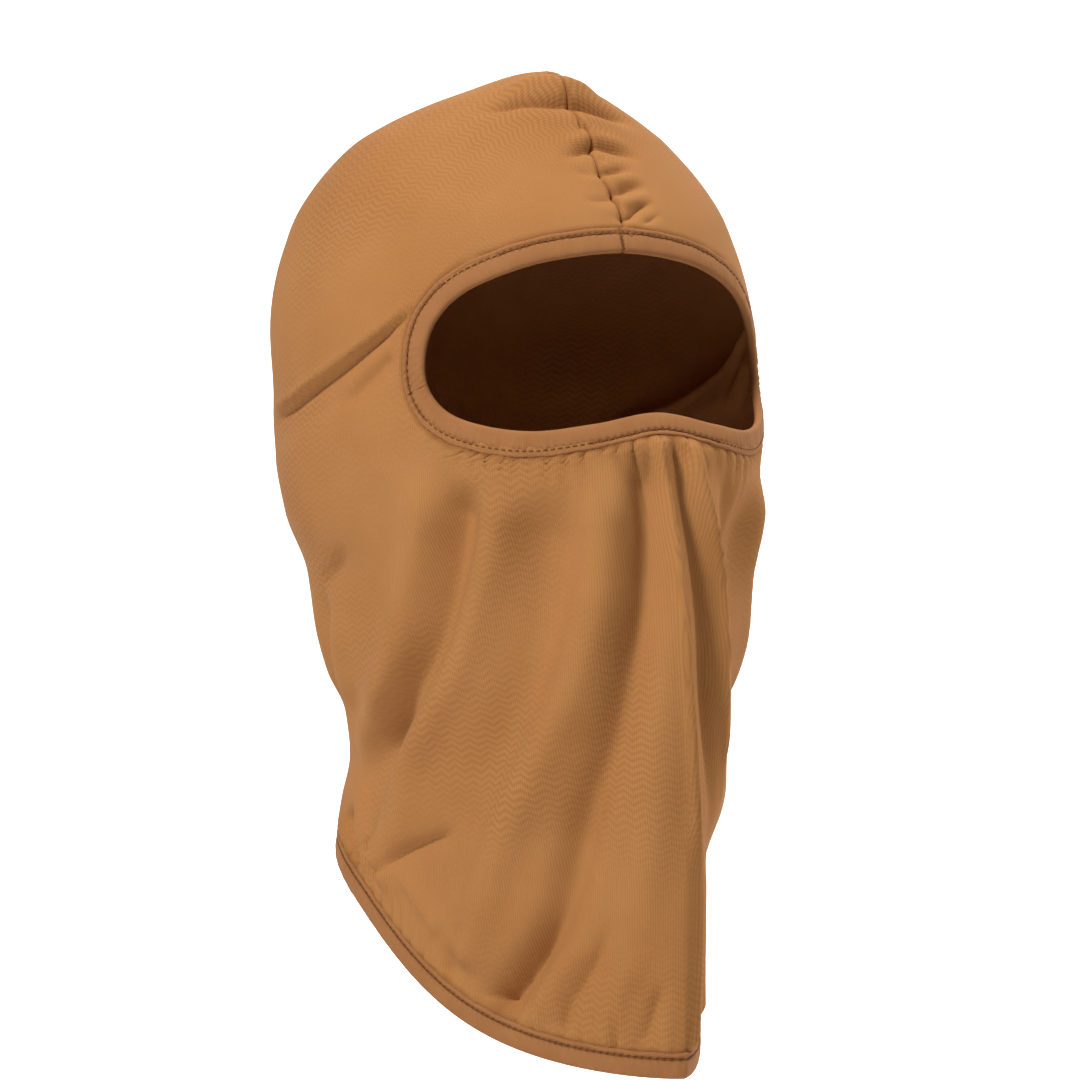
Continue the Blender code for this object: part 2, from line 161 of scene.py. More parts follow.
SIDE_FOLDS = [
    (2.4, 1.6, 1.1, 0.03, 0.35, [(-46, 79), (-55.6, 88), (-70, 98), (-92, 108), (-104, 112),
                                 (-125, 117)]),
    (-2.6, 1.8, 1.3, 0.03, 0.35, [(-46.6, 82), (-56.4, 91), (-70.6, 101), (-92, 111), (-104, 115),
                                  (-125, 120)]),
    (-2.6, 6.0, 2, 0.1, 0.3, [(-49, 88), (-59, 98), (-72, 108), (-92, 117), (-104, 121),
                              (-130, 126)]),
    (1.4, 2.4, 1.5, 0.1, 0.4, [(-52, 92), (-62, 102), (-75, 112)]),
    (-1.8, 3.0, 1.8, 0.2, 0.4, [(-50, 95), (-60, 106), (-73, 118)]),
]
NECK_FOLDS = [
    (-4.6, 7, 2, 0.3, 0.3, [(-90, 172), (-97, 182), (-101, 198), (-104, 214), (-110, 230)]),
    (2.4, 6, 2, 0.3, 0.3, [(-80, 178), (-86, 195), (-92, 212), (-100, 226)]),
    (-2.4, 3.6, 1.8, 0.5, 0.2, [(-70, 158), (-79, 166), (-88, 171), (-98, 175)]),
]
POCKET_FOLDS = [
    (-5.0, 4.5, 2, 0.3, 0.0, [(-99, 250), (-95, 259), (-88, 267)]),
    (3.0, 4, 2, 0.3, 0.0, [(-90, 240), (-84, 256), (-80, 266)]),
    (-4.0, 3, 1.5, 0.3, 0.0, [(-79, 259), (-75, 266), (-72, 274)]),
    (2.4, 3, 1.5, 0.3, 0.0, [(-74, 257), (-71, 264), (-68, 272)]),
]
BACK_FOLDS = [
    (-2.2, 7, 2, 0.3, 0.3, [(118, 150), (150, 163), (182, 166), (214, 160), (240, 148)]),
    (1.6, 8, 2, 0.3, 0.3, [(110, 170), (146, 184), (184, 188), (218, 180), (246, 168)]),
    (-2.4, 7, 2, 0.3, 0.3, [(112, 192), (142, 207), (176, 212), (204, 207), (232, 192)]),
    (1.4, 9, 2, 0.3, 0.3, [(128, 218), (160, 231), (196, 233), (228, 222)]),
    (-1.6, 6, 2, 0.3, 0.0, [(206, 222), (200, 243), (197, 264)]),
    (-1.6, 6, 2, 0.3, 0.0, [(150, 225), (158, 245), (161, 264)]),
    (1.2, 5, 2, 0.3, 0.0, [(222, 232), (214, 250), (212, 264)]),
    (1.2, 5, 2, 0.3, 0.0, [(134, 230), (144, 250), (146, 266)]),
]
CROWN_FOLDS = [
    (2.4, 3.6, 1.4, 0.35, 0.35, [(-48, 8.5), (-31, 6), (-21, 5), (-5, 5.2), (20, 6.5), (36, 9)]),
    (-3.8, 3.0, 1.4, 0.25, 0.25, [(-48, 16), (-31, 12), (-21, 11), (-5, 11.8), (12, 13.4), (38, 18)]),
    (1.0, 4, 2, 0.4, 0.4, [(-44, 20), (-20, 16), (0, 16), (30, 19)]),
    (-3.0, 2.0, 1.3, 0.35, 0.35, [(-11.5, 31.5), (-8.5, 30.5), (-2.8, 28.6), (2.6, 26.8), (6, 26.8),
                                  (12.5, 28.6), (20, 31.5)]),
    (1.2, 2.0, 1.5, 0.35, 0.35, [(-9, 26), (2, 23.8), (12, 25), (18, 27.5)]),
    (-1.4, 0.9, 1.6, 0.0, 0.0, [(2.7, 31.4), (3.3, 31.6)]),
    (-2.2, 1.3, 1.3, 0.0, 0.6, [(1.0, 36.4), (4, 35.6), (8, 34.8), (13, 34)]),
    (-2.4, 1.5, 1.3, 0.0, 0.6, [(1.0, 43.4), (3.5, 42.7), (7.5, 41.2), (15, 40)]),
    (-2.2, 1.6, 1.3, 0.0, 0.5, [(1.6, 52.5), (4, 50.8), (8, 47.4), (14, 45.4)]),
    (-1.2, 1.2, 1.3, 0.4, 0.5, [(5, 54), (9, 52), (14, 49)]),
    (0.9, 1.6, 2, 0.2, 0.5, [(2, 39), (8, 37.8), (15, 37)]),
    (0.9, 1.6, 2, 0.2, 0.5, [(2, 47.4), (6, 45.4), (14, 43)]),
    (-1.0, 1.6, 1.5, 0.6, 0.0, [(-9, 35), (-5, 36), (0.2, 37)]),
    (-0.9, 1.6, 1.5, 0.6, 0.0, [(-8, 45), (-4, 45.5), (1, 45)]),
]
SEAM_LINE = [[(1.4, 57), (1.6, 50), (1.7, 43), (0.5, 37), (1.1, 29), (2.4, 25), (2.4, 20.5)],
             [(0.3, 20.5), (0.9, 16), (1.3, 11), (0.4, 6), (0.4, 1)],
             [(180, 1), (180, 12), (180, 60), (180, 120), (180, 190), (180, 262)]]
SEAM_GROOVE_DEPTH = 1.1
SEAM_GROOVE_WIDTH = 0.9
SEAM_REACH = 16.0
MOST_CLEAR = 40.0

# Pleats drawn in by the elastic: their spacing, height, and the distance over which they rise.
EYE_PLEAT = 5.6
EYE_PLEAT_HEIGHT = 2.0
HEM_PLEAT = 7.0
HEM_PLEAT_HEIGHT = 1.8
PLEAT_RISE = 1.6

# Thread: stitches lie on the outer and inner face of each binding, overlock thread along the seam.
OUTER_STITCH_HEIGHT = 0.86
INNER_STITCH_HEIGHT = -1.98
STITCH_RADIUS = 0.24
STITCH_DIP = 0.42
HOLE_RADIUS = 0.5
HOLE_DEPTH = 0.6
STITCH_SIDES = 7
THREAD_SIDES = 6
OVERLOCK_RADIUS = 0.16
OVERLOCK_PITCH = 2.2
OVERLOCK_STEP = 0.45
SEAM_STEP = 0.8
JOIN_RADIUS = 0.17
JOIN_STITCHES = 5
JOIN_START = 0.9
JOIN_END = 7.9
JOIN_SWAY = 0.55

# Colours, as linear values.
KNIT_PALE = (0.470, 0.222, 0.077)
KNIT_DEEP = (0.405, 0.177, 0.055)
# The next colour is a dark tone of the knit's rows and yarn, and the painted shade between its loops, in
# the seam groove and under the binding lips.
KNIT_DARK_TONE_AND_SHADE = (0.190, 0.062, 0.017)
KNIT_SHEEN = (1.0, 0.72, 0.45)
BINDING_PALE = (0.372, 0.165, 0.062)
BINDING_DEEP = (0.312, 0.131, 0.047)
BINDING_SHEEN = (1.0, 0.76, 0.52)
# The next colour is painted shade in the stitch holes, the binding joins and the twist of the thread.
PAINTED_HOLLOW_SHADE = (0.075, 0.024, 0.008)
THREAD_PALE = (0.245, 0.096, 0.031)
THREAD_DEEP = (0.150, 0.054, 0.017)
ELASTIC_PALE = (0.62, 0.56, 0.47)
ELASTIC_DEEP = (0.30, 0.24, 0.18)
PAPER_PALE = (0.93, 0.93, 0.93)
PAPER_DEEP = (0.90, 0.90, 0.905)
WHITE = (1, 1, 1)

# The camera stands at the wearer's right, looking at the axis of the head.
CAMERA_TURN = math.radians(26)
CAMERA_TILT = math.radians(2)
CAMERA_DISTANCE = 1500.0
CAMERA_TARGET = (0, 22, -158.7)
CAMERA_ASIDE = 11.1
LENS = 144

# The studio, in metres and watts. Lights: name, place, what they face, size, power, colour.
FLOOR_DROP = 0.12
FLOOR_REACH = 3.0
FLOOR_HALF_WIDTH = 4.0
BACKDROP_START = 1.6
BACKDROP_BEND = 0.7
BACKDROP_TOP = 3.5
WORLD_LIGHT = 0.08
LIGHTS = [
    ("top", (0.8, -0.3, 1.2), (0, 0, -0.1), 0.5, 16, WHITE),
    ("key", (-1.15, -0.5, 1.15), (0, 0, -0.18), 0.3, 34, WHITE),
    ("fill", (1.4, 0.2, 0.35), (0, 0, -0.15), 0.6, 6, (1.0, 0.90, 0.78)),
    ("backdrop_left", (-0.2, 1.0, 0.9), (0.6, 2.3, 0.0), 1.2, 26, WHITE),
    ("backdrop_right", (1.6, 0.7, 0.9), (1.2, 2.0, 0.0), 1.2, 26, WHITE),
]


# The surface of the knit.

def smooth_profile(points):
    """A curve through (place, value) points that never overshoots them."""
    x = np.array([p[0] for p in points], float)
    y = np.array([p[1] for p in points], float)
    step = np.diff(x)
    rise = np.diff(y) / step
    slope = np.concatenate([rise[:1], np.zeros(len(x) - 2), rise[-1:]])
    for i in range(1, len(x) - 1):
        if rise[i - 1] * rise[i] > 0:
            before = 2 * step[i] + step[i - 1]
            after = step[i] + 2 * step[i - 1]
            slope[i] = (before + after) / (before / rise[i - 1] + after / rise[i])

    def value(at):
        at = np.clip(np.asarray(at, float), x[0], x[-1])
        i = np.clip(np.searchsorted(x, at) - 1, 0, len(x) - 2)
        t = (at - x[i]) / step[i]
        return ((2 * t**3 - 3 * t**2 + 1) * y[i] + (t**3 - 2 * t**2 + t) * step[i] * slope[i]
                + (3 * t**2 - 2 * t**3) * y[i + 1] + (t**3 - t**2) * step[i] * slope[i + 1])

    return value


half_width = smooth_profile(HALF_WIDTH)
front_reach = smooth_profile(FRONT_REACH)
back_reach = smooth_profile(BACK_REACH)
front_exponent = smooth_profile(FRONT_EXPONENT)
bridged_width = smooth_profile(BRIDGED_WIDTH)


def smoothstep(low, high, value):
    t = np.clip((value - low) / (high - low), 0, 1)
    return t * t * (3 - 2 * t)


def bell(offset, width):
    return np.exp(-((offset / width) ** 2))


def distances(route):
    """Distance along a route at each of its points."""
    return np.concatenate([[0], np.cumsum(np.linalg.norm(np.diff(route, axis=0), axis=1))])


def at_distances(wanted, along, values):
    """Rows of values, known at the distances along, at the wanted distances."""
    return np.stack([np.interp(wanted, along, column) for column in values.T], 1)


def axis_shift(depth):
    return APEX_SHIFT * (1 - np.clip(1 - depth / APEX_BLEND, 0, 1) ** 2)


def surface(angle, depth):
    """Outer face of the knit before its folds, in millimetres."""
    angle = np.asarray(angle, float)
    depth = np.maximum(np.asarray(depth, float), LEAST_DEPTH)
    dome = np.sqrt(1 - np.clip(1 - depth / CROWN_DEPTH, 0, 1) ** 2)
    to_front = np.cos(angle) > 0
    reach = np.where(to_front, front_reach(depth), back_reach(depth)) * dome
    hollow = FAR_HOLLOW * smoothstep(FAR_HOLLOW_TOP, FAR_HOLLOW_FULL, depth) * (np.sin(angle) > 0)
    power = np.where(to_front, front_exponent(depth) - hollow, 2.0)
    bridged = smoothstep(*BRIDGED_COSINES, np.cos(angle)) * (np.sin(angle) < 0)
    bridged = bridged * (depth > BRIDGED_WIDTH[0][0])
    width = half_width(depth) + (bridged_width(depth) - half_width(depth)) * bridged
    across = np.abs(np.sin(angle) / (width * dome)) ** power
    along = np.abs(np.cos(angle) / reach) ** power
    radius = (across + along) ** (-1 / power)
    x = radius * np.sin(angle) * WIDTH_SCALE
    y = axis_shift(depth) - radius * np.cos(angle)
    return np.stack([x, y, FABRIC - depth + 0 * x], -1)


def unit(vectors):
    return vectors / np.linalg.norm(vectors, axis=-1, keepdims=True)


def normal(angle, depth):
    """Outward direction of the plain outline."""
    turn = 0.01
    drop = 0.2
    round_head = surface(angle + turn, depth) - surface(angle - turn, depth)
    downwards = surface(angle, depth + drop) - surface(angle, np.maximum(depth - drop, 0.05))
    return unit(np.cross(downwards, round_head))


def place(angle, depth, height):
    """A point at a height over the plain outline."""
    return surface(angle, depth) + np.asarray(height)[..., None] * normal(angle, depth)


def hem_depth(angle):
    forward = (1 + np.cos(angle)) / 2
    return HEM_BACK + HEM_DROP * forward**HEM_SHARPNESS


def spline(points, samples, closed=False):
    """A smooth curve through a few points."""
    points = np.array(points, float)
    if closed:
        before, after, beyond = (np.roll(points, shift, 0) for shift in (1, -1, -2))
        start = points
    else:
        padded = np.concatenate([2 * points[:1] - points[1:2], points, 2 * points[-1:] - points[-2:-1]])
        before, start, after, beyond = padded[:-3], padded[1:-2], padded[2:-1], padded[3:]
    t = (np.arange(samples) / samples)[None, :, None]
    a, b, c, d = (p[:, None] for p in (before, start, after, beyond))
    curve = 0.5 * (2 * b + (c - a) * t + (2 * a - 5 * b + 4 * c - d) * t**2
                   + (3 * b - a - 3 * c + d) * t**3).reshape(-1, points.shape[1])
    return curve if closed else np.concatenate([curve, points[-1:]])


def opening_outline():
    left = [(math.radians(a), d) for a, d in OPENING_HALF]
    right = [(-a, d) for a, d in reversed(left[1:-1])]
    curve = spline(left + right, 48, closed=True)
    bearing = np.arctan2(curve[:, 1] - OPENING_CENTRE_DEPTH, curve[:, 0] * OPENING_ARC_RADIUS)
    order = np.argsort(bearing)
    return bearing[order], curve[order, 0], curve[order, 1]


OUTLINE_BEARING, OUTLINE_ANGLE, OUTLINE_DEPTH = opening_outline()


def opening_edge(bearing):
    """Edge of the eye opening; a bearing of 0 is at the wearer's left, 90 degrees at the chin."""
    turn = 2 * math.pi
    wrapped = (np.asarray(bearing) + math.pi) % turn - math.pi
    angle = np.interp(wrapped, OUTLINE_BEARING, OUTLINE_ANGLE, period=turn)
    depth = np.interp(wrapped, OUTLINE_BEARING, OUTLINE_DEPTH, period=turn)
    return angle, depth


def hem_edge(angle):
    return np.asarray(angle, float), hem_depth(angle)


def inset_from(edge, station, inset):
    """(angle, depth) an inset into the cloth from an edge, measured over the surface."""
    nudge = 0.02
    angle, depth = edge(station)
    travel = surface(*edge(station + nudge)) - surface(*edge(station - nudge))
    inwards = unit(np.cross(normal(angle, depth), travel))
    turn = 1e-3
    drop = 0.05
    per_angle = (surface(angle + turn, depth) - surface(angle - turn, depth)) / (2 * turn)
    per_depth = (surface(angle, depth + drop) - surface(angle, depth - drop)) / (2 * drop)
    a = (per_angle * per_angle).sum(-1)
    b = (per_angle * per_depth).sum(-1)
    c = (per_depth * per_depth).sum(-1)
    p = (per_angle * inwards).sum(-1)
    q = (per_depth * inwards).sum(-1)
    spread = a * c - b * b
    return (angle + inset * (c * p - b * q) / spread,
            depth + inset * (a * q - b * p) / spread)


# Folds.

def nearest_on_path(points, path):
    """For each point, its distance from a path and how far along the path that place is."""
    starts, ends = path[:-1], path[1:]
    lengths = np.linalg.norm(ends - starts, axis=1)
    before = np.concatenate([[0], np.cumsum(lengths)])
    best = np.full(len(points), 1e9)
    along = np.zeros(len(points))
    for start, end, length, offset in zip(starts, ends, lengths, before):
        direction = (end - start) / length
        step = np.clip((points - start) @ direction, 0, length)
        gap = np.linalg.norm(points - start - step[:, None] * direction, axis=1)
        closer = gap < best
        best[closer] = gap[closer]
        along[closer] = offset + step[closer]
    return best, along, before[-1]


def on_surface(path, samples=5):
    path = spline(path, samples)
    return surface(np.radians(path[:, 0]), path[:, 1])


def add_fold(lift, points, fold, flip=1.0):
    height, width, sharpness, fade_in, fade_out, path = fold
    route = on_surface([(flip * angle, depth) for angle, depth in path])
    reach = 4.5 * width
    near = ((points > route.min(0) - reach) & (points < route.max(0) + reach)).all(1)
    chosen = np.flatnonzero(near)
    if not len(chosen):
        return
    gap, along, length = nearest_on_path(points[chosen], route)
    share = along / length
    strength = np.ones(len(chosen))
    if fade_in:
        strength *= smoothstep(0, fade_in, share)
    if fade_out:
        strength *= smoothstep(0, fade_out, 1 - share)
    rounded = np.sqrt(gap**2 + (0.12 * width) ** 2) - 0.12 * width
    lift[chosen] += height * strength * np.exp(-((rounded / width) ** sharpness))


def wavering(along, length, seed):
    """An uneven wave of about one wave per length."""
    slow = 1.9 * np.sin(along / (4.3 * length) + seed)
    quick = 1.1 * np.sin(along / (1.7 * length) + 2 * seed)
    return np.sin(2 * math.pi * along / length + (slow + quick))


def pleated(along, gap, spacing, height, reach, seed):
    """Pleats beside a binding: narrow dips of uneven depth between wider rolls, gone past the reach."""
    wave = 0.7 * wavering(along, spacing, seed) + 0.3 * wavering(along, 0.57 * spacing, seed + 1.3)
    pleats = 0.3 - np.clip(0.5 + 0.6 * wave, 0, 1.15) ** 2.5
    return height * pleats * smoothstep(0, PLEAT_RISE, gap) * np.exp(-gap / reach)


def add_eye_gathers(lift, points, angle, depth):
    """Fine pleats under the eye opening, where elastic draws the knit in."""
    bearings = np.linspace(0.12, math.pi - 0.12, 90)
    lip = surface(*inset_from(opening_edge, bearings, LIP))
    near = np.flatnonzero((depth > 100) & (depth < 175) & (np.cos(angle) > 0.3))
    gap, along, length = nearest_on_path(points[near], lip)
    middle = 1 - np.abs(along / length - 0.5) * 2
    reach = 3 + 7 * (0.5 + 0.5 * wavering(along, 23, 0.9)) * smoothstep(0, 0.5, middle)
    outside = smoothstep(0, 1.5, depth[near] - np.interp(angle[near], *lower_lip()))
    pleats = pleated(along, gap, EYE_PLEAT, EYE_PLEAT_HEIGHT, reach, 0.4)
    lift[near] += pleats * smoothstep(0.02, 0.4, middle) * outside


def add_hem_gathers(lift, angle, depth):
    """The same above the hem."""
    drop = hem_depth(angle) - depth
    near = np.flatnonzero(drop < 60)
    gap = np.maximum(drop[near] * hem_slope(angle[near]) - LIP, 0)
    along = np.interp(angle[near] % (2 * math.pi), *hem_distance())
    reach = 3 + 8 * (0.5 + 0.5 * wavering(along, 31, 1.4))
    lift[near] += pleated(along, gap, HEM_PLEAT, HEM_PLEAT_HEIGHT, reach, 2.1)


def lower_lip():
    """Depth of the lower eye binding's lip against the angle."""
    bearings = np.linspace(math.pi, 0, 200)
    angle, depth = inset_from(opening_edge, bearings, LIP)
    order = np.argsort(angle)
    return angle[order], depth[order]


def hem_slope(angle):
    """Cosine of the hem's slope, which turns a drop in depth into a distance from the hem."""
    turn = 0.01
    travel = surface(*hem_edge(angle + turn)) - surface(*hem_edge(angle - turn))
    return np.linalg.norm(travel[..., :2], axis=-1) / np.linalg.norm(travel, axis=-1)


def hem_distance():
    """Angles round the hem and the distance along it."""
    angles = np.linspace(0, 2 * math.pi, 720)
    return angles, distances(surface(*hem_edge(angles)))


def add_seam(lift, points):
    """Sinks the centre seam, with a soft roll on each side and small puckers, and returns the painted
    shade of its groove.
    """
    painted_groove_shade = np.zeros(len(points))
    for path in SEAM_LINE:
        route = on_surface(path, 12)
        inside = (points > route.min(0) - SEAM_REACH) & (points < route.max(0) + SEAM_REACH)
        near = np.flatnonzero(inside.all(1))
        gap, along, length = nearest_on_path(points[near], route)
        cut = bell(gap, SEAM_GROOVE_WIDTH)
        before = np.linspace(0, length, len(route))
        side = np.where(points[near, 0] > np.interp(along, before, route[:, 0]), 0.9, 2.7)
        pucker = wavering(along, 7.7, side) * np.exp(-gap / 4.5) * smoothstep(0.4, 2.0, gap)
        lift[near] += 0.3 * bell(gap - 2.4, 1.6) - SEAM_GROOVE_DEPTH * cut + 0.35 * pucker
        # Painted shade along the seam groove, strongest at its middle.
        painted_groove_shade[near] = np.maximum(painted_groove_shade[near], cut)
    return painted_groove_shade


def from_edges(points, angle, depth):
    """How far each point is past the lips of the bindings, as far as MOST_CLEAR."""
    bearings = np.linspace(-math.pi, math.pi, 241)
    lip = surface(*inset_from(opening_edge, bearings, LIP))
    clear = np.full(len(points), MOST_CLEAR)
    near = np.flatnonzero((np.cos(angle) > 0.2) & (depth > 35) & (depth < 150))
    gap, _, _ = nearest_on_path(points[near], lip)
    edge_angle, edge_depth = opening_edge(np.arctan2(depth[near] - OPENING_CENTRE_DEPTH,
                                                     angle[near] * OPENING_ARC_RADIUS))
    reach = np.linalg.norm(points[near] - surface(edge_angle, edge_depth), axis=1)
    clear[near] = np.where(reach < LIP, 0, gap)
    hem_gap = (hem_depth(angle) - depth) * hem_slope(angle) - LIP
    return np.clip(np.minimum(clear, hem_gap), 0, MOST_CLEAR)


def fold_lift(points, angle, depth):
    """How far the folds stand off the plain outline, and how clear of the bindings each point is."""
    lift = np.zeros(len(points))
    one_sided = FRONT_FOLDS + POCKET_FOLDS + BACK_FOLDS + CROWN_FOLDS
    for fold in one_sided + NEAR_FOLDS + SIDE_FOLDS + NECK_FOLDS:
        add_fold(lift, points, fold)
    for fold in NEAR_FOLDS + SIDE_FOLDS[1:] + NECK_FOLDS:
        add_fold(lift, points, fold, flip=-1.07)
    clear = from_edges(points, angle, depth)
    return lift * smoothstep(0, 4, clear), clear


def folded(points, angle, depth):
    """How far the worn knit stands off its plain outline, and the painted shade in its seam groove and
    under the binding lips.
    """
    lift, clear = fold_lift(points, angle, depth)
    add_eye_gathers(lift, points, angle, depth)
    add_hem_gathers(lift, angle, depth)
    painted_groove_shade = add_seam(lift, points)
    # The knit dips under the binding lips, where it also gets painted shade.
    tucked = bell(clear, 0.9)
    lift -= 0.35 * tucked
    return lift, np.maximum(painted_groove_shade, 0.8 * tucked)


# Meshes.

def add_mesh(name, points, faces, material, texture=None, shade=None, normals=None):
    """A smooth mesh object. texture is (u, v) in metres and shade a darkening of painted shade, one per
    point.
    """
    mesh = bpy.data.meshes.new(name)
    mesh.from_pydata((np.asarray(points) * MM).tolist(), [], faces)
    mesh.update()
    mesh.shade_smooth()
    corners = np.zeros(len(mesh.loops), int)
    mesh.loops.foreach_get("vertex_index", corners)
    if texture is not None:
        layer = mesh.uv_layers.new(name="weave")
        layer.data.foreach_set("uv", np.asarray(texture, np.float32)[corners].ravel())
    if shade is not None:
        layer = mesh.attributes.new("shade", "FLOAT", "POINT")
        layer.data.foreach_set("value", np.asarray(shade, np.float32))
    if normals is not None:
        mesh.normals_split_custom_set_from_vertices(np.asarray(normals, np.float32))
    mesh.materials.append(material)
    piece = bpy.data.objects.new(name, mesh)
    bpy.context.scene.collection.objects.link(piece)
    return piece


def window_frame():
    left, right = -WINDOW_HALF_COLUMNS, WINDOW_HALF_COLUMNS
    outline = [(c, WINDOW_ROWS) for c in range(left, right)]
    outline += [(right, r) for r in range(WINDOW_ROWS, 0, -1)]
    outline += [(c, 0) for c in range(right, left, -1)]
    outline += [(left, r) for r in range(WINDOW_ROWS)]
    return outline


def column_angle(column):
    even = 2 * math.pi * np.asarray(column) / COLUMNS
    return even - COLUMN_CROWDING * np.sin(2 * even)


def row_depth(row):
    return WINDOW_TOP + (WINDOW_BOTTOM - WINDOW_TOP) * np.asarray(row) / WINDOW_ROWS


def knit_levels(angles):
    """(angle, depth) rings of the knit from the crown to the hem."""
    crown_turn = math.acos(1 - WINDOW_TOP / CROWN_DEPTH)
    turns = np.arange(1, CROWN_ROWS + 1) / (CROWN_ROWS + 1) * crown_turn
    depths = [*(CROWN_DEPTH * (1 - np.cos(turns))), *row_depth(np.arange(WINDOW_ROWS + 1))]
    levels = [np.stack([angles, np.full(COLUMNS, depth)], 1) for depth in depths]
    end_angle, end_depth = inset_from(hem_edge, angles, RAW_EDGE)
    for row in range(1, LOWER_ROWS + 1):
        share = row / LOWER_ROWS
        levels.append(np.stack([angles + (end_angle - angles) * share,
                                WINDOW_BOTTOM + (end_depth - WINDOW_BOTTOM) * share], 1))
    return levels


def part_of(faces, chosen, count):
    """The chosen faces with their own vertex numbers, and the vertices that they use."""
    some = [face for face, wanted in zip(faces, chosen) if wanted]
    used = np.zeros(count, bool)
    for face in some:
        used[list(face)] = True
    renumber = np.cumsum(used) - 1
    return [tuple(int(renumber[v]) for v in face) for face in some], used


def knit_layout():
    """The knit as (angle, depth) vertices and faces, with the eye opening left out."""
    levels = knit_levels(column_angle(np.arange(COLUMNS)))
    vertices = [np.array([[0.0, 0.0]])] + levels
    faces = []

    def at(column, level):
        return 1 + level * COLUMNS + column % COLUMNS

    for column in range(COLUMNS):
        faces.append((0, at(column + 1, 0), at(column, 0)))
        signed = (column + COLUMNS // 2) % COLUMNS - COLUMNS // 2
        beside = -WINDOW_HALF_COLUMNS <= signed < WINDOW_HALF_COLUMNS
        for level in range(len(levels) - 1):
            if beside and CROWN_ROWS <= level < CROWN_ROWS + WINDOW_ROWS:
                continue
            faces.append((at(column, level), at(column + 1, level),
                          at(column + 1, level + 1), at(column, level + 1)))
    outline = window_frame()
    previous = [at(c, CROWN_ROWS + r) for c, r in outline]
    frame_angle = column_angle([c for c, _ in outline])
    frame_depth = row_depth([r for _, r in outline])
    bearings = np.arctan2(frame_depth - OPENING_CENTRE_DEPTH, frame_angle * OPENING_ARC_RADIUS)
    edge_angle, edge_depth = inset_from(opening_edge, bearings, RAW_EDGE)
    first = 1 + len(levels) * COLUMNS
    for ring in range(1, RINGS + 1):
        share = ring / RINGS
        vertices.append(np.stack([frame_angle + (edge_angle - frame_angle) * share,
                                  frame_depth + (edge_depth - frame_depth) * share], 1))
        current = list(range(first, first + len(outline)))
        first += len(outline)
        for k in range(len(outline)):
            m = (k + 1) % len(outline)
            faces.append((previous[m], previous[k], current[k], current[m]))
        previous = current
    layout = np.concatenate(vertices)
    faces, used = part_of(faces, [True] * len(faces), len(layout))
    return layout[used], faces


def point_normals(points, faces):
    """Outward directions at the points, from the triangles and quads that meet there."""
    total = np.zeros_like(points)
    for size in (3, 4):
        some = np.array([face for face in faces if len(face) == size])
        corners = points[some]
        first = corners[:, 2] - corners[:, 0] if size == 4 else corners[:, 1] - corners[:, 0]
        second = corners[:, 3] - corners[:, 1] if size == 4 else corners[:, 2] - corners[:, 0]
        facing = np.cross(first, second)
        for k in range(size):
            np.add.at(total, some[:, k], facing)
    return unit(total)


def wale_place(angle, depth, points):
    """(u, v) over the cut cloth, in metres: wales run along v, down from the crown seam."""
    turned = (angle + math.pi) % (2 * math.pi) - math.pi
    side = np.where(turned < 0, -math.pi / 2, math.pi / 2)
    steps = np.linspace(0, 1, 29)[:, None]
    level = surface(side + (turned - side) * steps, np.maximum(depth, 20.0) + 0 * steps)
    girth = np.linalg.norm(np.diff(level, axis=0), axis=2).sum(0)
    forward = np.where(np.abs(turned) < math.pi / 2, 1.0, -1.0) * girth
    flat = APEX_SHIFT - points[:, 1]
    u = flat + (forward - flat) * smoothstep(15, 75, depth)
    high = FABRIC - CROWN_DEPTH
    turn_down = np.arctan2(np.abs(points[:, 0]), np.maximum(points[:, 2] - high, 0))
    v = CROWN_RADIUS * turn_down + np.maximum(high - points[:, 2], 0)
    return np.stack([u, v], 1) * MM


def shell(points, normals, faces):
    """Both faces of a cloth and the rims between them, as points and faces."""
    count = len(points)
    both = np.concatenate([points, points - normals * CLOTH_THICKNESS])
    sides = {}
    for face in faces:
        for k, start in enumerate(face):
            sides[(start, face[(k + 1) % len(face)])] = True
    rims = [(b, a, a + count, b + count) for a, b in sides if (b, a) not in sides]
    inner = [tuple(v + count for v in reversed(face)) for face in faces]
    return both, list(faces) + inner + rims


# The lower edge of the eye opening: the knit in front of the plane through the opening's outer corners,
# below the opening's middle, is made a piece of its own.
PULL = np.array([0, -0.957, 0.29])
PULL_END = surface(0.0, CHIN_EDGE_DEPTH)
PULL_LENGTH = float((PULL_END - surface(math.radians(CORNER[0]), CORNER[1])) @ PULL)
PULL_START = PULL_END - PULL_LENGTH * PULL


def bend_with_edge(piece):
    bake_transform(piece)


def make_knit(material):
    """The knit, divided into the part that stays on the hood and the part in front of the eye opening's
    lower edge.
    """
    layout, faces = knit_layout()
    angle, depth = layout[:, 0], layout[:, 1]
    base = surface(angle, depth)
    base[0] = (0, 0, FABRIC)
    facing = normal(angle, np.maximum(depth, 0.3))
    facing[0] = (0, 0, 1)
    lift, painted_groove_shade = folded(base, angle, depth)
    points = base + lift[:, None] * facing
    normals = point_normals(points, faces)
    texture = wale_place(angle, depth, base)
    in_front = ((points - PULL_START) @ PULL > 0) & (depth > OPENING_CENTRE_DEPTH)
    front_face = np.array([bool(in_front[list(face)].any()) for face in faces])
    made = []
    for name, chosen in (("hood_cloth", ~front_face), ("face_cloth", front_face)):
        own_faces, used = part_of(faces, chosen, len(points))
        own_points, own_normals = points[used], normals[used]
        both, all_faces = shell(own_points, own_normals, own_faces)
        made.append(add_mesh(name, both, all_faces, material,
                             texture=np.concatenate([texture[used]] * 2),
                             # shade is the painted shade of the seam groove and the binding lips.
                             shade=np.concatenate([painted_groove_shade[used]] * 2),
                             normals=np.concatenate([own_normals, -own_normals])))
    hood, face = made
    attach(hood, "hood")
    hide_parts("hood_body")
    bend_with_edge(face)


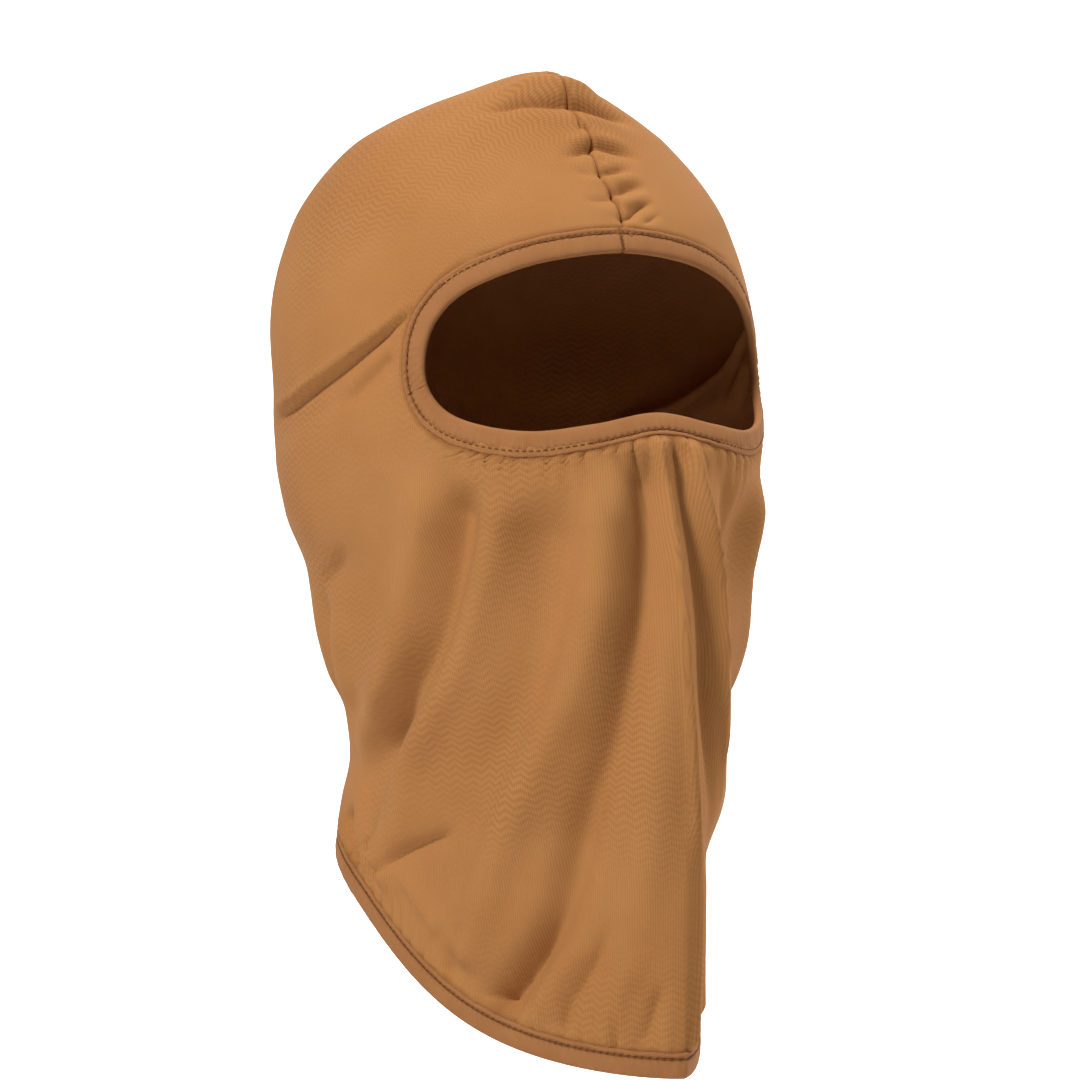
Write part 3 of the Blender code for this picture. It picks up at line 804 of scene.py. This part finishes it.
# Bindings, elastic and stitches all run along an edge, at stations spaced evenly along the stitches.

def even_stations(edge, start, end):
    """Stations along an edge, evenly spaced where the stitches lie, and those distances."""
    fine = np.linspace(start, end, 1600)
    before = distances(surface(*inset_from(edge, fine, STITCH_INSET)))
    count = int(round(before[-1] / BINDING_STEP))
    along = np.linspace(0, before[-1], count + 1)
    return np.interp(along, before, fine), along


# Outline of the folded strip: inset from the edge, and height over the knit's outer face.
OUTER_WALL = [(8.6, 0.1), (8.56, 0.62), (8.25, 0.98), (7.6, 1.0), (7.15, 0.8), (6.85, 0.68),
              (6.6, 0.64), (6.35, 0.68), (6.0, 0.82), (5.0, 0.95), (3.6, 0.98), (2.4, 0.95),
              (1.2, 0.82), (0.5, 0.5), (0.12, 0.0), (0.0, -0.6)]
INNER_WALL = [(0.2, -1.2), (0.8, -1.75), (2.0, -2.05), (4.0, -2.12), (6.1, -2.0), (6.6, -1.92),
              (7.1, -2.0), (8.0, -2.0), (8.3, -1.7), (8.2, -1.3)]
INSIDE = [(6.0, -1.3), (2.2, -1.45), (1.3, -1.0), (1.1, -0.5), (1.4, 0.1), (2.4, 0.5), (6.0, 0.45)]
STRIP_OUTLINE = OUTER_WALL + INNER_WALL + INSIDE
ELASTIC_OUTLINE = [(1.5, -1.02), (5.0, -1.08), (5.15, -0.95), (5.15, 0.15), (5.0, 0.3), (1.7, 0.18),
                   (1.5, 0.0)]
ELASTIC_SEED = {"eye": 1.0, "neck": 2.0}

# Runs of the eye binding: the cloth that they lie on, the seed of their unevenness, and the tucks
# at their ends as (distance from the end, reach, height).
EYE_RUNS = {"upper": ("hood_cloth", 0.7, (4, 13, 0.2)), "lower": ("face_cloth", 2.9, (3, 7, 0.12))}
BROW_BEARING = 1.5 * math.pi


def eye_span(run):
    """First and last bearing of the upper or lower run of the eye binding."""
    angle, depth = CORNER
    corner = math.atan2(depth - OPENING_CENTRE_DEPTH, math.radians(angle) * OPENING_ARC_RADIUS)
    if run == "lower":
        return corner, math.pi - corner
    return math.pi - corner, 2 * math.pi + corner


def outline_at(outline, along):
    """Insets and heights of an outline, the same at every station."""
    inset, height = np.array(outline).T
    return inset[None, :] + 0 * along[:, None], height[None, :] + 0 * along[:, None]


def strip_shape(along, seed, joins, tucks):
    """Insets, heights and painted shade of the folded strip, with its stitch holes, joins and tucks."""
    inset, height = outline_at(STRIP_OUTLINE, along)
    outside = np.arange(len(STRIP_OUTLINE)) < len(OUTER_WALL)
    body = outside * np.sin(np.clip(inset[0] / LIP, 0, 1) * math.pi) ** 0.5
    to_hole = (along + STITCH_PITCH / 2) % STITCH_PITCH - STITCH_PITCH / 2
    hole = bell(to_hole[:, None], HOLE_RADIUS) * bell(inset - STITCH_INSET, HOLE_RADIUS) * outside
    swell = 0.5 - 0.5 * np.cos(2 * math.pi * along / STITCH_PITCH)
    height += 0.08 * (swell[:, None] - 0.5) * bell(inset - 7.9, 0.6) * outside
    height += 0.10 * wavering(along, 9.0, seed)[:, None] * body
    height += 0.05 * wavering(along, 3.1, seed + 1)[:, None] * body
    inset += (0.10 * wavering(along, 12.0, seed + 2) + 0.12 * swell)[:, None] * (inset > 7)
    for middle, reach, amount in tucks:
        fade = amount * bell(along - middle, reach)
        slant = along[:, None] + 0.55 * inset
        height += fade[:, None] * np.sin(2 * math.pi * slant / 2.9) * body
    joined = np.zeros((len(along), 1))
    for join in joins:
        joined[:, 0] += bell(along - join, 0.5)
    height -= 0.42 * joined * body
    inset += 0.5 * joined * (np.abs(inset) < 1)
    height -= HOLE_DEPTH * hole
    # Painted shade in the stitch holes and the dips at the joins.
    return inset, height, np.clip(hole + 0.7 * joined * outside, 0, 1)


def elastic_shape(along, seed):
    inset, height = outline_at(ELASTIC_OUTLINE, along)
    height += 0.04 * wavering(along, 2.2, seed)[:, None]
    return inset, height, 0 * height


def ring_faces(count, sides, closed=False):
    """Faces between rings of points, with the two ends capped unless the rings close into a loop."""
    faces = []
    for k in range(count if closed else count - 1):
        m = (k + 1) % count
        for j in range(sides):
            n = (j + 1) % sides
            faces.append((k * sides + j, m * sides + j, m * sides + n, k * sides + n))
    if not closed:
        faces.append(tuple(range(sides)))
        faces.append(tuple((count - 1) * sides + j for j in reversed(range(sides))))
    return faces


def ring_texture(around, along):
    """(u, v) in metres for rings of points: u round each ring and v along the rings."""
    return np.stack(np.broadcast_arrays(around[None, :], along[:, None]), -1).reshape(-1, 2) * MM


def sweep(name, edge, stations, along, shape, closed, material):
    """A strip along an edge: shape gives insets, heights and shade at each station."""
    inset, height, shade = shape
    angle, depth = inset_from(edge, stations[:, None] + 0 * inset, inset)
    points = place(angle, depth, height).reshape(-1, 3)
    around = distances(np.stack([inset[0], height[0]], 1))
    return add_mesh(name, points, ring_faces(*inset.shape, closed), material,
                    texture=ring_texture(around, along), shade=shade.ravel())


def stitch_mesh(name, route, up, along, material):
    """Separate stitches lying along a route, each dipping into the holes at its ends."""
    shares = np.array([0.0, 0.1, 0.28, 0.5, 0.72, 0.9, 1.0])
    girths = np.array([0.35, 0.8, 1.0, 1.06, 1.0, 0.8, 0.35])
    dips = STITCH_DIP * (2 * np.abs(shares - 0.5)) ** 3
    turns = np.arange(STITCH_SIDES) / STITCH_SIDES * 2 * math.pi
    around = turns / (2 * math.pi) / MM
    points, faces, texture = [], [], []
    for number, start in enumerate(np.arange(0, along[-1] - 0.9 * STITCH_PITCH, STITCH_PITCH)):
        places = start + STITCH_PITCH * (0.06 + 0.88 * shares)
        centre = at_distances(places, along, route)
        lift = unit(at_distances(places, along, up))
        across = unit(np.cross(unit(np.gradient(centre, axis=0)), lift))
        centre = centre - lift * dips[:, None]
        spokes = across[:, None] * np.cos(turns)[:, None] + lift[:, None] * np.sin(turns)[:, None] * 0.8
        points.append((centre[:, None] + spokes * (STITCH_RADIUS * girths)[:, None, None]).reshape(-1, 3))
        texture.append(ring_texture(around, places))
        first = number * len(shares) * STITCH_SIDES
        faces += [tuple(first + v for v in face) for face in ring_faces(len(shares), STITCH_SIDES)]
    return add_mesh(name, np.concatenate(points), faces, material, texture=np.concatenate(texture))


def tube(name, route, radius, material, up):
    """A thread along a route, with closed ends; up is a direction that the route never takes."""
    run = unit(np.gradient(route, axis=0))
    across = unit(np.cross(run, up))
    lift = np.cross(across, run)
    turns = np.arange(THREAD_SIDES) / THREAD_SIDES * 2 * math.pi
    spokes = across[:, None] * np.cos(turns)[:, None] + lift[:, None] * np.sin(turns)[:, None]
    points = (route[:, None] + spokes * radius).reshape(-1, 3)
    return add_mesh(name, points, ring_faces(len(route), THREAD_SIDES), material,
                    texture=ring_texture(turns / (2 * math.pi) / MM, distances(route)))


def stitch_row(name, edge, stations, along, height, material):
    angle, depth = inset_from(edge, stations, STITCH_INSET)
    up = normal(angle, depth) * (1 if height > 0 else -1)
    return stitch_mesh(name, place(angle, depth, height), up, along, material)


def make_trim(where, run, edge, stations, along, shape, cloth, materials):
    """A binding strip with its elastic and stitches; run is empty for the hem, which is a loop."""
    closed = not run
    strip = sweep(f"{where}_binding{run}_cloth", edge, stations, along, shape, closed,
                  materials["binding"])
    coarse = along[::ELASTIC_STRIDE]
    elastic = sweep(f"{where}_elastic{run}_tape", edge, stations[::ELASTIC_STRIDE], coarse,
                    elastic_shape(coarse, ELASTIC_SEED[where]), closed, materials["elastic"])
    outer = stitch_row(f"{where}_stitches{run}_outer", edge, stations, along, OUTER_STITCH_HEIGHT,
                       materials["thread"])
    inner = stitch_row(f"{where}_stitches{run}_inner", edge, stations, along, INNER_STITCH_HEIGHT,
                       materials["thread"])
    for piece, slot in ((strip, "binding"), (elastic, "elastic"), (outer, "thread"), (inner, "thread")):
        if cloth == "face_cloth":
            bend_with_edge(piece)
        else:
            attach(piece, "hood")
    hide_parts(f"{where}_binding{run}")
    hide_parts(f"{where}_elastic{run}")
    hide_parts(f"{where}_topstitch{run}")


def make_eye_trim(materials):
    for run, (cloth, seed, (from_end, reach, amount)) in EYE_RUNS.items():
        stations, along = even_stations(opening_edge, *eye_span(run))
        tucks = [(from_end, reach, amount), (along[-1] - from_end, reach, amount)]
        joins = [np.interp(BROW_BEARING, stations, along)] if run == "upper" else []
        shape = strip_shape(along, seed, joins, tucks)
        make_trim("eye", f"_{run}", opening_edge, stations, along, shape, cloth, materials)


def make_neck_trim(materials):
    stations, along = even_stations(hem_edge, math.pi, 3 * math.pi)
    shape = strip_shape(along[:-1], 4.1, [0.0], [])
    make_trim("neck", "", hem_edge, stations[:-1], along[:-1], shape, "hood_cloth", materials)


# The centre seam, seen inside: two turned-in edges held by an overlock thread.

SEAM_HALF_WIDTH = 3.5
SEAM_OUTLINE = [(-3.4, -0.95), (-3.5, -1.5), (-2.6, -1.75), (-0.5, -1.85), (0.0, -1.55), (0.5, -1.85),
                (2.6, -1.75), (3.5, -1.5), (3.4, -0.95)]


def over_crown(start, end, count):
    """Depths down the crown at even steps of its arc, between two angles from its top."""
    return CROWN_DEPTH * (1 - np.cos(np.linspace(start, end, count)))


# Each half's name, its angle, and the depths that its route passes.
SEAMS = [
    ("crown_seam", 0.0, over_crown(math.acos(1 - (BROW_EDGE_DEPTH - LIP) / CROWN_DEPTH), 0.0, 200)),
    ("back_seam", math.pi, np.concatenate([over_crown(0.0, 1.2, 160),
                                           np.linspace(56, HEM_BACK - LIP, 240)[1:]])),
]


def seam_route(angle, depths):
    """Points along the centre line under the folds, with their outward directions and distances."""
    depths = np.maximum(depths, 0.3)
    line, facing = surface(angle, depths), normal(angle, depths)
    from_axis = -math.cos(angle) * (line[:, 1] - APEX_SHIFT)
    side_turn = SEAM_HALF_WIDTH / np.maximum(from_axis, 20)
    sides = [angle + step * side_turn for step in (-1, 0, 1)]
    sunk = np.min([fold_lift(surface(side, depths), side, depths)[0] for side in sides], axis=0)
    line = line + np.minimum(sunk, 0)[:, None] * facing
    before = distances(line)
    along = np.arange(0, before[-1], SEAM_STEP)
    return at_distances(along, before, line), unit(at_distances(along, before, facing)), along


def make_seam(name, angle, depths, materials):
    """The turned-in edges of one half of the centre seam and the overlock thread round them."""
    line, up, along = seam_route(angle, depths)
    across = np.array([1.0, 0, 0])
    points = np.stack([line + across * (w * (1 + 0.05 * wavering(along, 8, w))[:, None]) + up * h
                       for w, h in SEAM_OUTLINE], 1)
    faces = ring_faces(len(line), len(SEAM_OUTLINE))
    if angle == 0:
        faces = [face[::-1] for face in faces]
    widths = np.array(SEAM_OUTLINE)[:, 0]
    edges = add_mesh(f"{name}_edges", points.reshape(-1, 3), faces, materials["knit"],
                     texture=ring_texture(widths, along))
    steps = np.arange(0, along[-1], OVERLOCK_STEP)
    sway = np.sin(2 * math.pi * steps / OVERLOCK_PITCH)
    aside = (1.4 + 2.1 * sway)[:, None]
    under = (1.98 - 0.12 * np.abs(sway))[:, None]
    route = at_distances(steps, along, line) + across * aside - at_distances(steps, along, up) * under
    thread = tube(f"{name}_overlock", route, OVERLOCK_RADIUS, materials["thread"], across + 0.01)
    for piece, slot in ((edges, "knit"), (thread, "thread")):
        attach(piece, "hood")
    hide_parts(f"{name}_thread")


def make_join(where, edge, station, material):
    """A zigzag of thread across a binding, where the strip meets itself."""
    steps = np.linspace(0, 1, 61)
    inset = JOIN_START + (JOIN_END - JOIN_START) * steps
    zigzag = np.sin(2 * math.pi * steps * JOIN_STITCHES)
    height = np.interp(inset, *np.array(OUTER_WALL[::-1]).T) - 0.28 + 0.12 * np.abs(zigzag)
    travel = unit(surface(*edge(station + 0.02)) - surface(*edge(station - 0.02)))
    angle, depth = inset_from(edge, station + 0 * inset, inset)
    route = place(angle, depth, height) + JOIN_SWAY * zigzag[:, None] * travel
    piece = tube(f"{where}_join_stitches", route, JOIN_RADIUS, material, normal(angle, depth))
    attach(piece, "hood")
    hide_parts(f"{where}_join_thread")


# Materials.

class Nodes:
    """Short calls for building one material's nodes."""

    def __init__(self, name):
        self.material = bpy.data.materials.new(name)
        self.material.use_nodes = True
        self.tree = self.material.node_tree
        self.shader = self.tree.nodes["Principled BSDF"]

    def add(self, kind, **settings):
        node = self.tree.nodes.new(kind)
        for name, value in settings.items():
            setattr(node, name, value)
        return node

    def link(self, source, target):
        self.tree.links.new(source, target)

    def set(self, socket, value):
        if isinstance(value, bpy.types.NodeSocket):
            self.link(value, socket)
        else:
            socket.default_value = value

    def maths(self, operation, *values):
        node = self.add("ShaderNodeMath", operation=operation)
        for socket, value in zip(node.inputs, values):
            self.set(socket, value)
        return node.outputs[0]

    def noise(self, scale, detail, vector=None):
        node = self.add("ShaderNodeTexNoise")
        node.inputs["Scale"].default_value = scale
        node.inputs["Detail"].default_value = detail
        self.link(vector or self.object_place(), node.inputs["Vector"])
        return node.outputs["Fac"]

    def object_place(self):
        return self.add("ShaderNodeTexCoord").outputs["Object"]

    def weave(self):
        """Place over the cut cloth, across and along it."""
        place_node = self.add("ShaderNodeUVMap", uv_map="weave")
        parts = self.add("ShaderNodeSeparateXYZ")
        self.link(place_node.outputs["UV"], parts.inputs[0])
        return parts.outputs["X"], parts.outputs["Y"]

    def shade(self):
        """Painted shade: how deep in a groove or hole the point lies."""
        return self.add("ShaderNodeAttribute", attribute_name="shade").outputs["Fac"]

    def wave(self, cycles):
        return self.maths("SINE", self.maths("MULTIPLY", cycles, 2 * math.pi))

    def mix(self, factor, first, second):
        node = self.add("ShaderNodeMix", data_type="RGBA")
        self.set(node.inputs["Factor"], factor)
        for socket, value in zip((node.inputs[6], node.inputs[7]), (first, second)):
            self.set(socket, (*value, 1) if isinstance(value, tuple) else value)
        return node.outputs[2]

    def mottled(self, deep, pale, scale, detail, contrast):
        """Soft patches between two colours."""
        share = self.maths("MULTIPLY_ADD", self.noise(scale, detail), contrast, (1 - contrast) / 2)
        return self.mix(share, deep, pale)

    def tinted(self, colour, tint, mask, strength):
        """The colour turned towards a tint where the mask is high."""
        return self.mix(self.maths("MULTIPLY", mask, strength), colour, tint)

    def bump(self, height, distance, strength, after=None):
        node = self.add("ShaderNodeBump")
        node.inputs["Distance"].default_value = distance
        node.inputs["Strength"].default_value = strength
        self.link(height, node.inputs["Height"])
        if after:
            self.link(after, node.inputs["Normal"])
        return node.outputs["Normal"]

    def finish(self, colour, normal_socket, roughness, specular, sheen=0.0, sheen_tint=(1, 1, 1)):
        self.link(colour, self.shader.inputs["Base Color"])
        self.link(normal_socket, self.shader.inputs["Normal"])
        self.shader.inputs["Roughness"].default_value = roughness
        self.shader.inputs["Specular IOR Level"].default_value = specular
        self.shader.inputs["Sheen Weight"].default_value = sheen
        self.shader.inputs["Sheen Roughness"].default_value = 0.35
        self.shader.inputs["Sheen Tint"].default_value = (*sheen_tint, 1)
        return self.material


def jersey_height(nodes, across, down, wale, course):
    """Height of a plain jersey knit: columns of small V shapes."""
    place_in_wale = nodes.maths("FRACT", nodes.maths("DIVIDE", across, wale))
    offset = nodes.maths("ABSOLUTE", nodes.maths("SUBTRACT", place_in_wale, 0.5))
    from_middle = nodes.maths("MULTIPLY", offset, 2.0)
    slant = nodes.maths("MULTIPLY", from_middle, 0.55)
    loops = nodes.maths("ADD", nodes.maths("DIVIDE", down, course), slant)
    rounded = nodes.maths("SUBTRACT", 1.0, nodes.maths("POWER", from_middle, 2.5))
    gentle = nodes.maths("MULTIPLY_ADD", nodes.wave(loops), 0.24, 0.76)
    return nodes.maths("MULTIPLY", rounded, gentle)


def slack_rows(nodes, across, down):
    """Zigzag rows where the courses lie slack, in broad soft patches."""
    zigzag = nodes.maths("PINGPONG", nodes.maths("DIVIDE", across, 3.4 * MM), 1.0)
    row = nodes.maths("ADD", nodes.maths("DIVIDE", down, 2.3 * MM), nodes.maths("MULTIPLY", zigzag, 0.8))
    drift = nodes.maths("MULTIPLY", nodes.noise(45, 2), 2.0)
    wave = nodes.wave(nodes.maths("ADD", row, drift))
    patch = nodes.maths("MULTIPLY_ADD", nodes.noise(14, 1), 4.0, -1.6)
    patch = nodes.maths("MINIMUM", nodes.maths("MAXIMUM", patch, 0.0), 1.0)
    return nodes.maths("MULTIPLY", nodes.maths("MULTIPLY_ADD", wave, 0.5, 0.5), patch)


def knit_relief(nodes, knit, yarn):
    return nodes.bump(knit, 0.11 * MM, 0.55, nodes.bump(yarn, 0.05 * MM, 0.35))


def knit_material():
    """Fine polyester jersey: small wales, zigzag rows, soft mottling, painted shade in its gaps and
    grooves, a little sheen.
    """
    nodes = Nodes("coyote_knit")
    across, down = nodes.weave()
    knit = jersey_height(nodes, across, down, 0.80 * MM, 0.66 * MM)
    yarn = nodes.noise(900, 2)
    colour = nodes.mottled(KNIT_DEEP, KNIT_PALE, 26, 3, 1.6)
    colour = nodes.tinted(colour, KNIT_DARK_TONE_AND_SHADE, slack_rows(nodes, across, down), 0.30)
    # Painted shade in the gaps between the knit's loops.
    colour = nodes.tinted(colour, KNIT_DARK_TONE_AND_SHADE, nodes.maths("SUBTRACT", 1.0, knit), 0.36)
    colour = nodes.tinted(colour, KNIT_DARK_TONE_AND_SHADE, yarn, 0.12)
    # Painted shade in the seam groove and under the binding lips.
    colour = nodes.tinted(colour, KNIT_DARK_TONE_AND_SHADE, nodes.shade(), 0.9)
    return nodes.finish(colour, knit_relief(nodes, knit, yarn), 0.8, 0.06, 0.03, KNIT_SHEEN)


def binding_material():
    """The same jersey cut crosswise and stretched over elastic, so its wales run round the strip."""
    nodes = Nodes("binding_knit")
    across, down = nodes.weave()
    knit = jersey_height(nodes, down, across, 0.60 * MM, 0.52 * MM)
    colour = nodes.mottled(BINDING_DEEP, BINDING_PALE, 70, 3, 1.6)
    # Painted shade in the gaps between the loops.
    colour = nodes.tinted(colour, KNIT_DARK_TONE_AND_SHADE, nodes.maths("SUBTRACT", 1.0, knit), 0.25)
    # Painted shade in the stitch holes and at the joins.
    colour = nodes.tinted(colour, PAINTED_HOLLOW_SHADE, nodes.shade(), 0.9)
    relief = knit_relief(nodes, knit, nodes.noise(1100, 2))
    return nodes.finish(colour, relief, 0.8, 0.08, 0.04, BINDING_SHEEN)


def thread_material():
    """Twisted sewing thread: slanting plies with painted shade between them, a little gloss."""
    nodes = Nodes("sewing_thread")
    around, down = nodes.weave()
    turn = nodes.maths("ADD", nodes.maths("MULTIPLY", around, 2.0), nodes.maths("DIVIDE", down, 0.55 * MM))
    ply = nodes.maths("MULTIPLY_ADD", nodes.wave(turn), 0.5, 0.5)
    colour = nodes.mottled(THREAD_DEEP, THREAD_PALE, 300, 2, 1.2)
    # Painted shade in the grooves between the plies.
    colour = nodes.tinted(colour, PAINTED_HOLLOW_SHADE, nodes.maths("SUBTRACT", 1.0, ply), 0.35)
    return nodes.finish(colour, nodes.bump(ply, 0.05 * MM, 0.6), 0.7, 0.1)


def elastic_material():
    """Woven elastic tape: rubber ribs along its length and fine threads across."""
    nodes = Nodes("woven_elastic")
    across, down = nodes.weave()
    ribs = nodes.wave(nodes.maths("DIVIDE", across, 0.8 * MM))
    picks = nodes.wave(nodes.maths("DIVIDE", down, 0.5 * MM))
    height = nodes.maths("MULTIPLY_ADD", picks, 0.25, nodes.maths("MULTIPLY_ADD", ribs, 0.4, 0.5))
    # Darker where the weave lies low: painted shade between the ribs and threads, with random patches.
    tint = nodes.maths("MULTIPLY_ADD", height, 0.5, nodes.maths("MULTIPLY", nodes.noise(200, 2), 0.4))
    colour = nodes.mix(tint, ELASTIC_DEEP, ELASTIC_PALE)
    return nodes.finish(colour, nodes.bump(height, 0.15 * MM, 0.7), 0.7, 0.3)


def studio_material():
    nodes = Nodes("studio_paper")
    grain = nodes.noise(40, 2)
    colour = nodes.mix(grain, PAPER_DEEP, PAPER_PALE)
    return nodes.finish(colour, nodes.bump(grain, 0.05 * MM, 0.1), 0.9, 0.1)


# Camera, floor and lights.

def make_camera():
    turn, tilt = CAMERA_TURN, CAMERA_TILT
    right = Vector((math.cos(turn), -math.sin(turn), 0))
    back = Vector((-math.sin(turn) * math.cos(tilt), -math.cos(turn) * math.cos(tilt),
                   math.sin(tilt)))
    up = back.cross(right)
    stand = Vector(CAMERA_TARGET) + CAMERA_ASIDE * right + CAMERA_DISTANCE * back
    camera = bpy.data.objects.new("camera", bpy.data.cameras.new("camera"))
    camera.data.lens = LENS
    camera.data.clip_end = 20
    camera.matrix_world = Matrix((
        (right.x, up.x, back.x, stand.x * MM),
        (right.y, up.y, back.y, stand.y * MM),
        (right.z, up.z, back.z, stand.z * MM),
        (0, 0, 0, 1)))
    bpy.context.scene.collection.objects.link(camera)
    bpy.context.scene.camera = camera


def add_area_light(name, stand, aim, size, power, colour):
    light = bpy.data.objects.new(name, bpy.data.lights.new(name, "AREA"))
    light.data.size = size
    light.data.energy = power
    light.data.color = colour
    light.location = stand
    light.rotation_euler = (Vector(aim) - Vector(stand)).to_track_quat("-Z", "Y").to_euler()
    bpy.context.scene.collection.objects.link(light)

def make_backdrop():
    """A pale floor that bends up into a wall behind the hood, square to the camera."""
    profile = [(-FLOOR_REACH, 0.0)]
    for turn in np.linspace(0, math.pi / 2, 13):
        profile.append((BACKDROP_START + BACKDROP_BEND * math.sin(turn),
                        BACKDROP_BEND * (1 - math.cos(turn))))
    profile.append((BACKDROP_START + BACKDROP_BEND, BACKDROP_TOP))
    c, s = math.cos(CAMERA_TURN), math.sin(CAMERA_TURN)
    points = []
    for y, z in profile:
        for x in (-FLOOR_HALF_WIDTH, FLOOR_HALF_WIDTH):
            points.append((c * x + s * y, c * y - s * x, HEM_LOW[2] - FLOOR_DROP + z))
    faces = [(2 * k, 2 * k + 1, 2 * k + 3, 2 * k + 2) for k in range(len(profile) - 1)]
    add_mesh("studio_floor", np.array(points) / MM, faces, studio_material())


def make_studio():
    make_backdrop()
    world = bpy.data.worlds.new("studio")
    world.use_nodes = True
    background = world.node_tree.nodes["Background"]
    background.inputs["Color"].default_value = (*WHITE, 1)
    background.inputs["Strength"].default_value = WORLD_LIGHT
    bpy.context.scene.world = world
    bpy.context.scene.view_settings.view_transform = "Standard"
    for light in LIGHTS:
        add_area_light(*light)


def make_hood():
    materials = {"knit": knit_material(), "binding": binding_material(), "thread": thread_material(),
                 "elastic": elastic_material()}
    make_knit(materials["knit"])
    make_eye_trim(materials)
    make_neck_trim(materials)
    for name, angle, depths in SEAMS:
        make_seam(name, angle, depths, materials)
    make_join("brow", opening_edge, -math.pi / 2, materials["thread"])
    make_join("nape", hem_edge, math.pi, materials["thread"])


make_camera()
make_hood()
make_studio()
